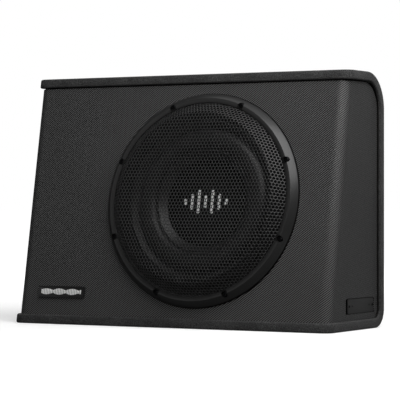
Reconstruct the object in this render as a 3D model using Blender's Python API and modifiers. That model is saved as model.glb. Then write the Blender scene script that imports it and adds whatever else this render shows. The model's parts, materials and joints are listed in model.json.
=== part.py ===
"""Powered car subwoofer: a slanted sealed box with a 12 inch driver behind a steel grille.

Units are metres. +X runs to the right seen from the front, +Y to the back, +Z up.
The origin is the middle of the bottom face. The baffle leans back by TILT, and the
driver's pieces are modelled about the local Z axis and placed on the baffle by an empty.
"""

import math

import bmesh
import bpy
from mathutils import Matrix

# Box
WIDTH = 0.545
HEIGHT = 0.380
DEPTH_BOTTOM = 0.188
DEPTH_TOP = 0.1186
BOARD = 0.014                 # wrapped C board
TOP_BACK_RADIUS = 0.055
BOTTOM_BACK_RADIUS = 0.028
PLAN_CORNER_RADIUS = 0.018    # front corners of the C board, seen from above
BAFFLE_INSET = 0.0032         # baffle behind the C board's front edge
SIDE_INSET = 0.004            # side faces inside the C board's ends
VINYL = 0.001
BAFFLE_BOARD = 0.018
SIDE_BOARD = 0.015
CORNER_RADIUS = 0.020         # upright front corners of the vinyl
GAP = 0.0003                  # between touching pieces

# Driver, measured from the point where its axis leaves the baffle
DRIVER_X = 0.044
DRIVER_UP_BAFFLE = 0.1927
CUTOUT_RADIUS = 0.139
FLANGE_RADIUS = 0.1575
COIL_RADIUS = 0.032

# Trim ring and grille
RING_OUTER = 0.163
RING_PEAK = 0.1534
RING_INNER = 0.1463
SCREW_CIRCLE = 0.153
SCREW_COUNT = 8

# Control panel on the left end
PANEL_Y = 0.030
PANEL_Z = 0.180
PANEL_FLANGE = (0.086, 0.220)
PANEL_BODY = (0.0714, 0.2054)
PANEL_SUNK = 0.0085           # depth of the tray below the vinyl

# Cover plate low on the right end
COVER_Y = 0.0190
COVER_Z = 0.0351
COVER_SIZE = (0.0965, 0.0225)
COVER_SLOT = 0.0085                       # cable slot left open in front of the cover plate

ROUND = 40                    # sides of the large turned pieces
HIDDEN_ROUND = 24
BASKET_ROUND = 32
SMALL_ROUND = 12

TILT = math.atan((DEPTH_BOTTOM - DEPTH_TOP) / HEIGHT)
BACK = DEPTH_BOTTOM / 2
FRONT = -DEPTH_BOTTOM / 2
SIDE_FACE = WIDTH / 2 - SIDE_INSET
SKIN = VINYL + GAP            # from the vinyl's face to the board behind it
SIDE_INSIDE = SIDE_FACE - SKIN - SIDE_BOARD
DRIVER_Y = FRONT + BAFFLE_INSET + DRIVER_UP_BAFFLE * math.sin(TILT)
DRIVER_Z = DRIVER_UP_BAFFLE * math.cos(TILT)


def front_y(z, behind=0.0):
    """Y of the baffle's face at height z, or of a plane that far behind it."""
    return FRONT + BAFFLE_INSET + z * math.tan(TILT) + behind / math.cos(TILT)


# Scene, collections and materials

def clear_scene():
    for obj in list(bpy.data.objects):
        bpy.data.objects.remove(obj, do_unlink=True)


def new_collection(name):
    collection = bpy.data.collections.new(name)
    bpy.context.scene.collection.children.link(collection)
    return collection


def new_material(name, colour, roughness, metallic=0.0):
    material = bpy.data.materials.new(name)
    material.use_nodes = True
    shader = material.node_tree.nodes["Principled BSDF"]
    shader.inputs["Base Color"].default_value = (*colour, 1.0)
    shader.inputs["Roughness"].default_value = roughness
    shader.inputs["Metallic"].default_value = metallic
    return material


clear_scene()
parts = new_collection("powered_car_subwoofer")
cutters = new_collection("cutters")

carpet = new_material("carpet", (0.045, 0.045, 0.047), 0.95)
vinyl = new_material("woven_vinyl", (0.060, 0.060, 0.062), 0.6)
board = new_material("fibreboard", (0.42, 0.31, 0.20), 0.85)
gloss_black = new_material("gloss_black_plastic", (0.015, 0.015, 0.016), 0.22)
matt_black = new_material("matt_black_plastic", (0.025, 0.025, 0.026), 0.6)
mesh_steel = new_material("black_coated_steel", (0.03, 0.03, 0.032), 0.4, 0.5)
screw_steel = new_material("black_zinc_screw", (0.03, 0.03, 0.03), 0.45, 0.8)
rubber = new_material("black_rubber", (0.022, 0.022, 0.022), 0.75)
cone_black = new_material("polypropylene_cone", (0.035, 0.035, 0.037), 0.5)
copper = new_material("enamelled_copper", (0.62, 0.27, 0.12), 0.35, 1.0)
aluminium = new_material("aluminium", (0.60, 0.60, 0.61), 0.4, 1.0)
plated_steel = new_material("zinc_plated_steel", (0.55, 0.55, 0.56), 0.4, 1.0)
ferrite = new_material("ferrite", (0.05, 0.05, 0.055), 0.7)
cloth = new_material("resin_cloth", (0.55, 0.40, 0.18), 0.85)
circuit_green = new_material("circuit_board", (0.03, 0.16, 0.07), 0.5)
white_plastic = new_material("white_plastic", (0.75, 0.75, 0.73), 0.5)
blue_lens = new_material("blue_lens", (0.05, 0.20, 0.75), 0.2)
fuse_plastic = new_material("green_fuse", (0.10, 0.45, 0.14), 0.35)


# Modelling helpers

def link(obj, material, collection=None):
    if material is not None:
        obj.data.materials.append(material)
    (collection or parts).objects.link(obj)
    return obj


def make_cutter(obj):
    cutters.objects.link(obj)
    obj.hide_render = True
    obj.display_type = "WIRE"
    return obj


def arc(centre, radius, start, end, steps):
    """Points along an arc, angles in degrees."""
    points = []
    for i in range(steps + 1):
        angle = math.radians(start + (end - start) * i / steps)
        points.append((centre[0] + radius * math.cos(angle), centre[1] + radius * math.sin(angle)))
    return points


def circle(centre, radius, sides):
    return arc(centre, radius, 0, 360 - 360 / sides, sides - 1)


def rounded_rectangle(width, height, radius, steps=4, centre=(0.0, 0.0)):
    points = []
    for quarter, (side_u, side_v) in enumerate(((1, 1), (-1, 1), (-1, -1), (1, -1))):
        corner = (centre[0] + side_u * (width / 2 - radius), centre[1] + side_v * (height / 2 - radius))
        points += arc(corner, radius, quarter * 90, quarter * 90 + 90, steps)
    return points


def plate_mesh(name, loops, thickness):
    """A flat outline, with any holes, as a closed slab about its own XY plane."""
    curve = bpy.data.curves.new(name, "CURVE")
    curve.dimensions = "2D"
    curve.fill_mode = "BOTH"
    curve.extrude = thickness / 2
    for loop in loops:
        spline = curve.splines.new("POLY")
        spline.points.add(len(loop) - 1)
        for point, (u, v) in zip(spline.points, loop):
            point.co = (u, v, 0.0, 1.0)
        spline.use_cyclic_u = True
    flat = bpy.data.objects.new(name + "_outline", curve)
    bpy.context.scene.collection.objects.link(flat)
    evaluated = flat.evaluated_get(bpy.context.evaluated_depsgraph_get())
    mesh = bpy.data.meshes.new_from_object(evaluated)
    bpy.data.objects.remove(flat, do_unlink=True)
    weld(mesh)
    mesh.name = name
    return mesh


def weld(mesh):
    work = bmesh.new()
    work.from_mesh(mesh)
    bmesh.ops.remove_doubles(work, verts=work.verts, dist=0.00001)
    bmesh.ops.recalc_face_normals(work, faces=work.faces)
    work.to_mesh(mesh)
    work.free()


def plate(name, loops, thickness, material, matrix=Matrix()):
    mesh = plate_mesh(name, loops, thickness)
    mesh.transform(matrix)
    return link(bpy.data.objects.new(name, mesh), material)


def side_prism(name, outline_yz, x0, x1):
    """An outline in Y and Z run along X from x0 to x1."""
    mesh = plate_mesh(name, [outline_yz], x1 - x0)
    turn = Matrix(((0, 0, 1, (x0 + x1) / 2), (1, 0, 0, 0), (0, 1, 0, 0), (0, 0, 0, 1)))
    mesh.transform(turn)
    return bpy.data.objects.new(name, mesh)


def leaning_prism(name, outline_xy, z0, z1, lean_before):
    """A plan outline run from z0 to z1. Points in front of lean_before lean with the baffle."""
    mesh = plate_mesh(name, [outline_xy], z1 - z0)
    mesh.transform(Matrix.Translation((0, 0, (z0 + z1) / 2)))
    for vertex in mesh.vertices:
        if vertex.co.y < lean_before:
            vertex.co.y += vertex.co.z * math.tan(TILT)
    return bpy.data.objects.new(name, mesh)


def box_mesh(name, size, centre=(0.0, 0.0, 0.0)):
    work = bmesh.new()
    bmesh.ops.create_cube(work, size=1.0)
    bmesh.ops.scale(work, verts=work.verts, vec=size)
    bmesh.ops.translate(work, verts=work.verts, vec=centre)
    mesh = bpy.data.meshes.new(name)
    work.to_mesh(mesh)
    work.free()
    return mesh


def box(name, size, centre, material, bevel=0.0):
    obj = link(bpy.data.objects.new(name, box_mesh(name, size, centre)), material)
    if bevel:
        add_bevel(obj, bevel)
    return obj


def add_bevel(obj, width, segments=1):
    modifier = obj.modifiers.new("edges", "BEVEL")
    modifier.width = width
    modifier.segments = segments
    modifier.limit_method = "ANGLE"


def rod_mesh(name, radius, length, sides=SMALL_ROUND):
    """A cylinder along Z, centred."""
    work = bmesh.new()
    bmesh.ops.create_cone(
        work, cap_ends=True, segments=sides, radius1=radius, radius2=radius, depth=length
    )
    mesh = bpy.data.meshes.new(name)
    work.to_mesh(mesh)
    work.free()
    return mesh


def turned(name, profile, steps, material, closed=True, collection=None):
    """A profile of (radius, height) turned about Z, listed from the top down its outer side."""
    mesh = bpy.data.meshes.new(name)
    edges = [(i, i + 1) for i in range(len(profile) - 1)]
    if closed:
        edges.append((len(profile) - 1, 0))
    mesh.from_pydata([(radius, 0.0, height) for radius, height in profile], edges, [])
    obj = bpy.data.objects.new(name, mesh)
    link(obj, material, collection)
    screw = obj.modifiers.new("turn", "SCREW")
    screw.steps = steps
    screw.render_steps = steps
    screw.use_merge_vertices = True
    screw.merge_threshold = 0.00001
    screw.use_smooth_shade = True
    return obj


def cut(obj, cutter, operation="DIFFERENCE"):
    modifier = obj.modifiers.new(cutter.name, "BOOLEAN")
    modifier.operation = operation
    modifier.object = cutter
    modifier.solver = "EXACT"


def joined(name, meshes):
    """One cutter mesh from several meshes placed by their matrices."""
    work = bmesh.new()
    for mesh, matrix in meshes:
        copy = mesh.copy()
        copy.transform(matrix)
        work.from_mesh(copy)
        bpy.data.meshes.remove(copy)
    mesh = bpy.data.meshes.new(name)
    work.to_mesh(mesh)
    work.free()
    return make_cutter(bpy.data.objects.new(name, mesh))


def cable(name, points, radius, material, samples):
    """A round lead along a smooth curve through the points."""
    curve = bpy.data.curves.new(name, "CURVE")
    curve.dimensions = "3D"
    curve.bevel_depth = radius
    curve.bevel_resolution = 2
    curve.use_fill_caps = True
    spline = curve.splines.new("POLY")
    route = smooth_route(points, samples)
    spline.points.add(len(route) - 1)
    for point, place in zip(spline.points, route):
        point.co = (*place, 1.0)
    return link(bpy.data.objects.new(name, curve), material)


def smooth_route(points, samples):
    """Catmull-Rom points through a few chosen ones."""
    ends = [points[0]] + list(points) + [points[-1]]
    route = []
    for i in range(len(points) - 1):
        p0, p1, p2, p3 = ends[i:i + 4]
        for k in range(samples):
            t = k / samples
            route.append(tuple(
                0.5 * (2 * b + (c - a) * t + (2 * a - 5 * b + 4 * c - d) * t * t
                       + (3 * b - a - 3 * c + d) * t ** 3)
                for a, b, c, d in zip(p0, p1, p2, p3)
            ))
    route.append(tuple(points[-1]))
    return route


def new_empty(name, location, rotation=(0.0, 0.0, 0.0), parent=None):
    empty = bpy.data.objects.new(name, None)
    empty.location = location
    empty.rotation_euler = rotation
    empty.parent = parent
    parts.objects.link(empty)
    return empty


LEAN = (math.pi / 2 - TILT, 0.0, 0.0)     # turns local Z to the baffle's outward normal
baffle_frame = new_empty("baffle_frame", (0.0, FRONT + BAFFLE_INSET, 0.0), LEAN)
driver_axis = new_empty("driver_axis", (DRIVER_X, DRIVER_Y, DRIVER_Z), LEAN)
cone_axis = new_empty("cone_axis", (0.0, 0.0, 0.0), parent=driver_axis)
bpy.context.view_layer.update()


# Shared cutters

def cylinder_cutter(name, radius, length, sides, parent, location):
    obj = make_cutter(bpy.data.objects.new(name, rod_mesh(name, radius, length, sides)))
    obj.parent = parent
    obj.location = location
    return obj


def ring_places(count, radius, height, first_angle):
    places = []
    for i in range(count):
        angle = math.radians(first_angle + i * 360 / count)
        places.append((radius * math.cos(angle), radius * math.sin(angle), height))
    return places


screw_places = ring_places(SCREW_COUNT, SCREW_CIRCLE, 0.0, 22.5)
screw_hole = rod_mesh("screw_hole", 0.0024, 0.050, 8)
screw_holes = joined("screw_holes", [(screw_hole, Matrix.Translation(place)) for place in screw_places])
screw_holes.parent = driver_axis

cutout = cylinder_cutter("driver_cutout", CUTOUT_RADIUS, 0.080, ROUND, driver_axis, (0, 0, 0))


def inside_outline(inset):
    """The hollow of the C board in Y and Z, shrunk by inset."""
    back_low = (BACK - BOTTOM_BACK_RADIUS, BOTTOM_BACK_RADIUS)
    back_high = (BACK - TOP_BACK_RADIUS, HEIGHT - TOP_BACK_RADIUS)
    low = BOARD + inset
    high = HEIGHT - BOARD - inset
    rear = arc(back_low, BOTTOM_BACK_RADIUS - low, -90, 0, 4) + arc(back_high, TOP_BACK_RADIUS - low, 0, 90, 6)
    return low, high, rear


def side_outline(behind):
    """The end profile of the hollow, from a plane that far behind the baffle's face to the back board."""
    low, high, rear = inside_outline(GAP)
    return [(front_y(low, behind), low)] + rear + [(front_y(high, behind), high)]


# Cabinet

def build_wrap_board():
    back_low = (BACK - BOTTOM_BACK_RADIUS, BOTTOM_BACK_RADIUS)
    back_high = (BACK - TOP_BACK_RADIUS, HEIGHT - TOP_BACK_RADIUS)
    spare = 0.01
    outline = [(FRONT - spare, 0.0)]
    outline += arc(back_low, BOTTOM_BACK_RADIUS, -90, 0, 5)
    outline += arc(back_high, TOP_BACK_RADIUS, 0, 90, 8)
    outline += [(FRONT - spare, HEIGHT), (FRONT - spare, HEIGHT - BOARD)]
    outline += arc(back_high, TOP_BACK_RADIUS - BOARD, 90, 0, 8)
    outline += arc(back_low, BOTTOM_BACK_RADIUS - BOARD, 0, -90, 5)
    outline.append((FRONT - spare, BOARD))
    wrap = link(side_prism("wrap_board", outline, -WIDTH / 2, WIDTH / 2), carpet)
    radius = PLAN_CORNER_RADIUS
    half = WIDTH / 2
    plan = arc((-half + radius, FRONT + radius), radius, 180, 270, 5)
    plan += arc((half - radius, FRONT + radius), radius, 270, 360, 5)
    plan += [(half, BACK + 0.10), (-half, BACK + 0.10)]
    cut(wrap, make_cutter(leaning_prism("wrap_plan", plan, -0.02, HEIGHT + 0.02, BACK)), "INTERSECT")


def cover_plan(radius, face, front):
    """Front and both ends in plan at z 0, from the left back round to the right back."""
    rear = BACK - BOARD - GAP
    points = [(-face, rear)]
    points += arc((-face + radius, front + radius), radius, 180, 270, 5)
    points += arc((face - radius, front + radius), radius, 270, 360, 5)
    points.append((face, rear))
    return points


def build_vinyl_cover():
    front = front_y(0)
    outer = cover_plan(CORNER_RADIUS, SIDE_FACE, front)
    inner = cover_plan(CORNER_RADIUS - VINYL, SIDE_FACE - VINYL, front + VINYL)
    low = BOARD + GAP
    cover = leaning_prism("vinyl_cover", outer + inner[::-1], low, HEIGHT - low, BACK - 0.03)
    link(cover, vinyl)
    hollow_low, hollow_high, rear = inside_outline(GAP)
    hollow = [(FRONT - 0.05, hollow_low)] + rear + [(FRONT - 0.05, hollow_high)]
    cut(cover, make_cutter(side_prism("cover_limit", hollow, -WIDTH, WIDTH)), "INTERSECT")
    cut(cover, cutout)
    cut(cover, screw_holes)
    cut(cover, panel_opening)
    cut(cover, cover_opening)


def build_front_baffle():
    half = SIDE_FACE - CORNER_RADIUS - GAP
    near = front_y(0, SKIN)
    far = front_y(0, SKIN + BAFFLE_BOARD)
    plan = [(-half, near), (half, near), (half, far), (-half, far)]
    low = BOARD + GAP
    baffle = link(leaning_prism("front_baffle", plan, low, HEIGHT - low, BACK), board)
    cut(baffle, cutout)
    cut(baffle, screw_holes)


def build_corner_post(name, side):
    """A quarter round upright between the baffle's end and the side panel's front edge."""
    radius = CORNER_RADIUS - SKIN
    centre = (side * (SIDE_FACE - CORNER_RADIUS), front_y(0) + CORNER_RADIUS)
    if side > 0:
        plan = [centre] + arc(centre, radius, 270, 360, 5)
    else:
        plan = [centre] + arc(centre, radius, 180, 270, 5)
    low = BOARD + GAP
    link(leaning_prism(name, plan, low, HEIGHT - low, BACK), board)


def build_side_panel(name, side):
    outer = side * (SIDE_FACE - SKIN)
    inner = side * SIDE_INSIDE
    panel = side_prism(name, side_outline_behind_post(), min(outer, inner), max(outer, inner))
    link(panel, board)
    return panel


def side_outline_behind_post():
    """The side panel stops behind the corner post, which is a plan offset."""
    low, high, rear = inside_outline(GAP)
    step = CORNER_RADIUS + GAP
    return [(front_y(low) + step, low)] + rear + [(front_y(high) + step, high)]


def build_cabinet():
    build_wrap_board()
    build_vinyl_cover()
    build_front_baffle()
    build_corner_post("corner_post_left", -1)
    build_corner_post("corner_post_right", 1)
    cut(build_side_panel("side_panel_left", -1), panel_opening)
    right = build_side_panel("side_panel_right", 1)
    cut(right, cover_pocket)
    cut(right, cover_screw_holes)
    divider_outline = side_outline(SKIN + BAFFLE_BOARD + GAP)
    divider = link(side_prism("divider_panel", divider_outline, -0.118, -0.106), board)
    cut(divider, lead_hole)


TO_SIDE = Matrix(((0, 0, 1, 0), (1, 0, 0, 0), (0, 1, 0, 0), (0, 0, 0, 1)))   # outline u,v to Y,Z


def side_slot(name, size, radius, centre, x0, x1):
    """A rounded opening in an end face, cut along X."""
    mesh = plate_mesh(name, [rounded_rectangle(*size, radius)], x1 - x0)
    mesh.transform(Matrix.Translation(((x0 + x1) / 2, *centre)) @ TO_SIDE)
    return make_cutter(bpy.data.objects.new(name, mesh))


opening_size = (PANEL_BODY[0] + 2 * GAP, PANEL_BODY[1] + 2 * GAP)
panel_opening = side_slot(
    "panel_opening", opening_size, 0.006, (PANEL_Y, PANEL_Z), -SIDE_FACE - 0.01, -SIDE_INSIDE + 0.01
)
COVER_FLOOR = SIDE_FACE - 0.0068          # pocket floor behind the cover plate
cover_opening = side_slot(
    "cover_opening", COVER_SIZE, 0.003, (COVER_Y, COVER_Z), SIDE_FACE - SKIN, SIDE_FACE + 0.01
)
cover_pocket = side_slot(
    "cover_pocket", COVER_SIZE, 0.003, (COVER_Y, COVER_Z), COVER_FLOOR, SIDE_FACE + 0.01
)
ALONG_X = Matrix.Rotation(math.radians(90), 4, "Y")
PLATE_Y = COVER_Y + (COVER_SLOT - GAP) / 2
COVER_SCREW_Y = (PLATE_Y - 0.0395, PLATE_Y + 0.0395)
COVER_HOLE_Y = (PLATE_Y - 0.029, PLATE_Y + 0.029)
cover_screw_hole = rod_mesh("cover_screw_hole", 0.0016, 0.030, 8)
cover_screw_holes = joined(
    "cover_screw_holes",
    [(cover_screw_hole, Matrix.Translation((SIDE_FACE - 0.0018, y, COVER_Z)) @ ALONG_X) for y in COVER_SCREW_Y],
)
LEAD_Y = 0.045
LEAD_Z = 0.112
lead_hole = joined(
    "lead_hole",
    [(rod_mesh("lead_hole_rod", 0.0034, 0.030, 10), Matrix.Translation((-0.112, LEAD_Y, LEAD_Z)) @ ALONG_X)],
)
build_cabinet()


# Trim ring, grille and their screws

def on_driver(obj, parent=None, location=(0.0, 0.0, 0.0)):
    obj.parent = parent or driver_axis
    obj.location = location
    return obj


def build_trim_ring():
    profile = [
        (RING_PEAK, 0.0126), (RING_OUTER, 0.0030), (RING_OUTER, GAP), (0.1585, GAP),
        (0.1585, 0.0046), (0.1478, 0.0046), (RING_INNER, 0.0060), (RING_INNER, 0.0105),
    ]
    ring = on_driver(turned("trim_ring", profile, ROUND, gloss_black))
    head_space = rod_mesh("head_space", 0.0042, 0.012, SMALL_ROUND)
    places = [(head_space, Matrix.Translation((x, y, 0.0130))) for x, y, _ in screw_places]
    recesses = joined("screw_recesses", places)
    recesses.parent = driver_axis
    cut(ring, recesses)
    cut(ring, screw_holes)


def build_grille():
    profile = [
        (0.0, 0.0280), (0.1262, 0.0280), (0.1290, 0.0272), (0.1312, 0.0256), (0.1458, 0.0104),
        (0.1458, 0.0043), (FLANGE_RADIUS, 0.0043), (FLANGE_RADIUS, 0.0031), (0.1446, 0.0031),
        (0.1446, 0.0099), (0.1303, 0.0248), (0.1284, 0.0262), (0.1262, 0.0268), (0.0, 0.0268),
    ]
    grille = on_driver(turned("grille_mesh", profile, ROUND, mesh_steel, closed=False))
    cut(grille, screw_holes)


def screw_mesh(name, head_radius, head_height, shank_radius, length, sides=10):
    """A pan head screw along Z, with the head's underside at z 0 and a hex recess in its top."""
    profile = [
        (0.0, head_height * 0.55), (head_radius * 0.42, head_height * 0.55),
        (head_radius * 0.42, head_height), (head_radius * 0.72, head_height),
        (head_radius, head_height * 0.45), (head_radius, 0.0),
        (shank_radius, 0.0), (shank_radius, -length + shank_radius), (0.0, -length),
    ]
    source = turned(name, profile, sides, None, closed=False)
    evaluated = source.evaluated_get(bpy.context.evaluated_depsgraph_get())
    mesh = bpy.data.meshes.new_from_object(evaluated)
    bpy.data.objects.remove(source, do_unlink=True)
    return mesh


def build_ring_screws():
    mesh = screw_mesh("ring_screw", 0.0039, 0.0026, 0.0020, 0.019, 8)
    mesh.materials.append(screw_steel)
    for i, (x, y, _) in enumerate(screw_places):
        screw = bpy.data.objects.new(f"ring_screw_{i + 1}", mesh)
        parts.objects.link(screw)
        on_driver(screw, location=(x, y, 0.0073))


build_trim_ring()
build_grille()
build_ring_screws()


# Driver, from the basket inwards

TOP_PLATE_TOP = -0.0640
TOP_PLATE_THICK = 0.008
MAGNET_THICK = 0.024
BACK_PLATE_THICK = 0.008
SPIDER_LEVEL = -0.0445


def build_basket():
    profile = [
        (FLANGE_RADIUS, 0.0028), (FLANGE_RADIUS, GAP), (0.1375, GAP),
        (0.1250, -0.0085), (0.1110, -0.0085), (0.0925, -0.0485), (0.0815, -0.0500),
        (0.0755, -0.0637), (0.0440, -0.0637), (0.0440, -0.0612), (0.0725, -0.0612),
        (0.0790, -0.0475), (0.0895, -0.0470), (0.1085, -0.0060), (0.1221, -0.0060), (0.1221, 0.0028),
    ]
    basket = on_driver(turned("basket", profile, BASKET_ROUND, matt_black))
    cut(basket, screw_holes)
    window = box_mesh("window", (0.040, 0.064, 0.031), (0.102, 0.0, -0.0285))
    turns = [(window, Matrix.Rotation(math.radians(30 + 60 * i), 4, "Z")) for i in range(6)]
    windows = joined("basket_windows", turns)
    windows.parent = driver_axis
    cut(basket, windows)


def surround_profile():
    """A half roll between the cone and the landing, with a wedge shaped outer foot."""
    inner = 0.0782
    outer = 0.1085
    middle = (inner + outer) / 2
    width = (outer - inner) / 2
    base = -0.0038
    steps = 8
    top = []
    under = []
    for i in range(steps + 1):
        angle = math.pi * i / steps
        r = middle - width * math.cos(angle)
        top.append((r, base + 0.0118 * math.sin(angle)))
        under.append((middle - (width + 0.0002) * math.cos(angle) * 0.93, base - 0.0012 + 0.0112 * math.sin(angle)))
    outside = [(0.1196, 0.0045), (0.1212, 0.0045), (0.1212, -0.0057), (0.1090, -0.0057)]
    return top + outside + under[::-1]


def build_soft_parts():
    surround = turned("surround", surround_profile(), HIDDEN_ROUND, rubber)
    on_driver(surround)
    waves = 4
    steps = 16
    inner = COIL_RADIUS + 0.0011
    outer = 0.0885
    top = []
    under = []
    for i in range(steps + 1):
        r = inner + (outer - inner) * i / steps
        flat_end = i < 2 or i > steps - 2
        wave = 0.0 if flat_end else 0.0014 * math.sin(2 * math.pi * waves * (i - 1) / (steps - 2))
        top.append((r, SPIDER_LEVEL + wave))
        under.append((r, SPIDER_LEVEL + wave - 0.0008))
    on_driver(turned("spider", top + under[::-1], HIDDEN_ROUND, cloth))
    profile = [(0.1330, 0.0050), (0.1330, 0.0031), (0.1225, 0.0031), (0.1225, 0.0050)]
    on_driver(turned("gasket_ring", profile, HIDDEN_ROUND, rubber))


def build_moving_parts():
    cone_profile = [
        (0.0779, -0.0030), (0.0779, -0.0046), (0.0688, -0.0168), (0.0338, -0.0418), (COIL_RADIUS + 0.0010, -0.0418),
        (COIL_RADIUS + 0.0010, -0.0398), (0.0672, -0.0152), (0.0764, -0.0030),
    ]
    on_driver(turned("cone", cone_profile, HIDDEN_ROUND, cone_black), cone_axis)
    cap = [(0.0, -0.0112), (0.0200, -0.0116), (0.0400, -0.0127), (0.0580, -0.0138), (0.0668, -0.0144),
           (0.0668, -0.0149), (0.0580, -0.0150), (0.0400, -0.0139), (0.0200, -0.0128), (0.0, -0.0124)]
    on_driver(turned("dust_cap", cap, HIDDEN_ROUND, cone_black, closed=False), cone_axis)
    former = [(COIL_RADIUS + 0.0007, -0.0380), (COIL_RADIUS + 0.0007, -0.0800), (COIL_RADIUS, -0.0800),
              (COIL_RADIUS, -0.0380)]
    on_driver(turned("voice_coil_former", former, HIDDEN_ROUND, aluminium), cone_axis)
    winding = [(COIL_RADIUS + 0.0024, -0.0580), (COIL_RADIUS + 0.0024, -0.0780), (COIL_RADIUS + 0.0010, -0.0780),
               (COIL_RADIUS + 0.0010, -0.0580)]
    on_driver(turned("voice_coil_winding", winding, HIDDEN_ROUND, copper), cone_axis)


def washer(name, outer, inner, top, bottom, material, steps=HIDDEN_ROUND):
    profile = [(outer, top), (outer, bottom), (inner, bottom), (inner, top)]
    return on_driver(turned(name, profile, steps, material))


def build_motor():
    top_plate_low = TOP_PLATE_TOP - TOP_PLATE_THICK
    magnet_low = top_plate_low - GAP - MAGNET_THICK
    plate_top = magnet_low - GAP
    plate_low = plate_top - BACK_PLATE_THICK
    washer("top_plate", 0.0680, COIL_RADIUS + 0.0032, TOP_PLATE_TOP, top_plate_low, plated_steel)
    washer("magnet", 0.0700, 0.0450, top_plate_low - GAP, magnet_low, ferrite)
    pole = COIL_RADIUS - 0.0008
    yoke = [
        (pole, TOP_PLATE_TOP), (pole, plate_top), (0.0670, plate_top), (0.0670, plate_low),
        (0.0120, plate_low), (0.0120, TOP_PLATE_TOP),
    ]
    on_driver(turned("pole_yoke", yoke, HIDDEN_ROUND, plated_steel))
    boot = [
        (0.0735, TOP_PLATE_TOP - 0.003), (0.0735, plate_low - 0.0018), (0.0550, plate_low - 0.0018),
        (0.0550, plate_low - GAP), (0.0704, plate_low - GAP), (0.0704, TOP_PLATE_TOP - 0.003),
    ]
    on_driver(turned("magnet_boot", boot, HIDDEN_ROUND, rubber))


def build_driver_wiring():
    terminal = box("driver_terminal", (0.009, 0.030, 0.016), (-0.1160, 0.0, -0.0260), matt_black, 0.0012)
    on_driver(terminal)
    for name, side in (("tinsel_lead_1", 1), ("tinsel_lead_2", -1)):
        route = [
            (-0.1160, side * 0.0158, -0.0260), (-0.1090, side * 0.0290, -0.0250),
            (-0.0900, side * 0.0300, -0.0285), (-0.0740, side * 0.0200, -0.0300), (-0.0600, side * 0.0120, -0.0265),
        ]
        on_driver(cable(name, route, 0.0008, copper, 4))


build_basket()
build_soft_parts()
build_moving_parts()
build_motor()
build_driver_wiring()


# Badge on the baffle and cover plate on the right end

def build_badge():
    outline = rounded_rectangle(0.0835, 0.0175, 0.0020, 3, (-0.18825, 0.04975))
    badge = plate("badge_plate", [outline], 0.0027, matt_black)
    badge.parent = baffle_frame
    badge.location = (0.0, 0.0, GAP + 0.00135)
    add_bevel(badge, 0.0005)


def build_cover_plate():
    size = (COVER_SIZE[0] - COVER_SLOT - GAP, COVER_SIZE[1] - 2 * GAP)
    outer = SIDE_FACE - 0.0008
    thickness = outer - COVER_FLOOR - GAP
    holes = [circle((y - PLATE_Y, 0.0), 0.0016, 8) for y in COVER_SCREW_Y]
    holes += [circle((y - PLATE_Y, 0.0), 0.0012, 8) for y in COVER_HOLE_Y]
    place = Matrix.Translation((outer - thickness / 2, PLATE_Y, COVER_Z)) @ TO_SIDE
    plate("cover_plate", [rounded_rectangle(*size, 0.0028, 3)] + holes, thickness, matt_black, place)
    mesh = screw_mesh("cover_screw", 0.0030, 0.0015, 0.0013, 0.011, 8)
    mesh.materials.append(screw_steel)
    for i, y in enumerate(COVER_SCREW_Y):
        screw = bpy.data.objects.new(f"cover_screw_{i + 1}", mesh)
        screw.location = (outer + GAP, y, COVER_Z)
        screw.rotation_euler = (0.0, math.pi / 2, 0.0)
        parts.objects.link(screw)


build_badge()
build_cover_plate()


# Amplifier and its control panel on the left end. Local axes: X points out of the end face

FLOOR_X = -SIDE_FACE + PANEL_SUNK          # face of the tray that the controls stand on
TRAY_BACK = FLOOR_X + 0.003
FACE_TO_LEFT = Matrix(((0, 0, -1, 0), (1, 0, 0, 0), (0, 1, 0, 0), (0, 0, 0, 1)))
KNOB_PLACES = {
    "gain_knob": (PANEL_Y + 0.020, 0.262),
    "crossover_knob": (PANEL_Y, 0.262),
    "bass_knob": (PANEL_Y - 0.020, 0.262),
}
SWITCH_PLACE = (PANEL_Y + 0.016, 0.232)
LED_PLACE = (PANEL_Y - 0.018, 0.232)
RCA_PLACES = {"rca_jack_left": (PANEL_Y + 0.012, 0.205), "rca_jack_right": (PANEL_Y - 0.012, 0.205)}
SOCKET_PLACE = (PANEL_Y, 0.172)
FUSE_PLACE = (PANEL_Y, 0.139)
POWER_PLACE = (PANEL_Y, 0.106)
PANEL_SCREW_REACH = (PANEL_FLANGE[0] / 2 - 0.0037, PANEL_FLANGE[1] / 2 - 0.012)


def panel_hole(size, place, radius=0.0):
    if radius:
        return (rod_mesh("hole", radius, 0.02, SMALL_ROUND), Matrix.Translation((FLOOR_X, *place)) @ ALONG_X)
    return (box_mesh("hole", (0.02, *size)), Matrix.Translation((FLOOR_X, *place)))


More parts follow.
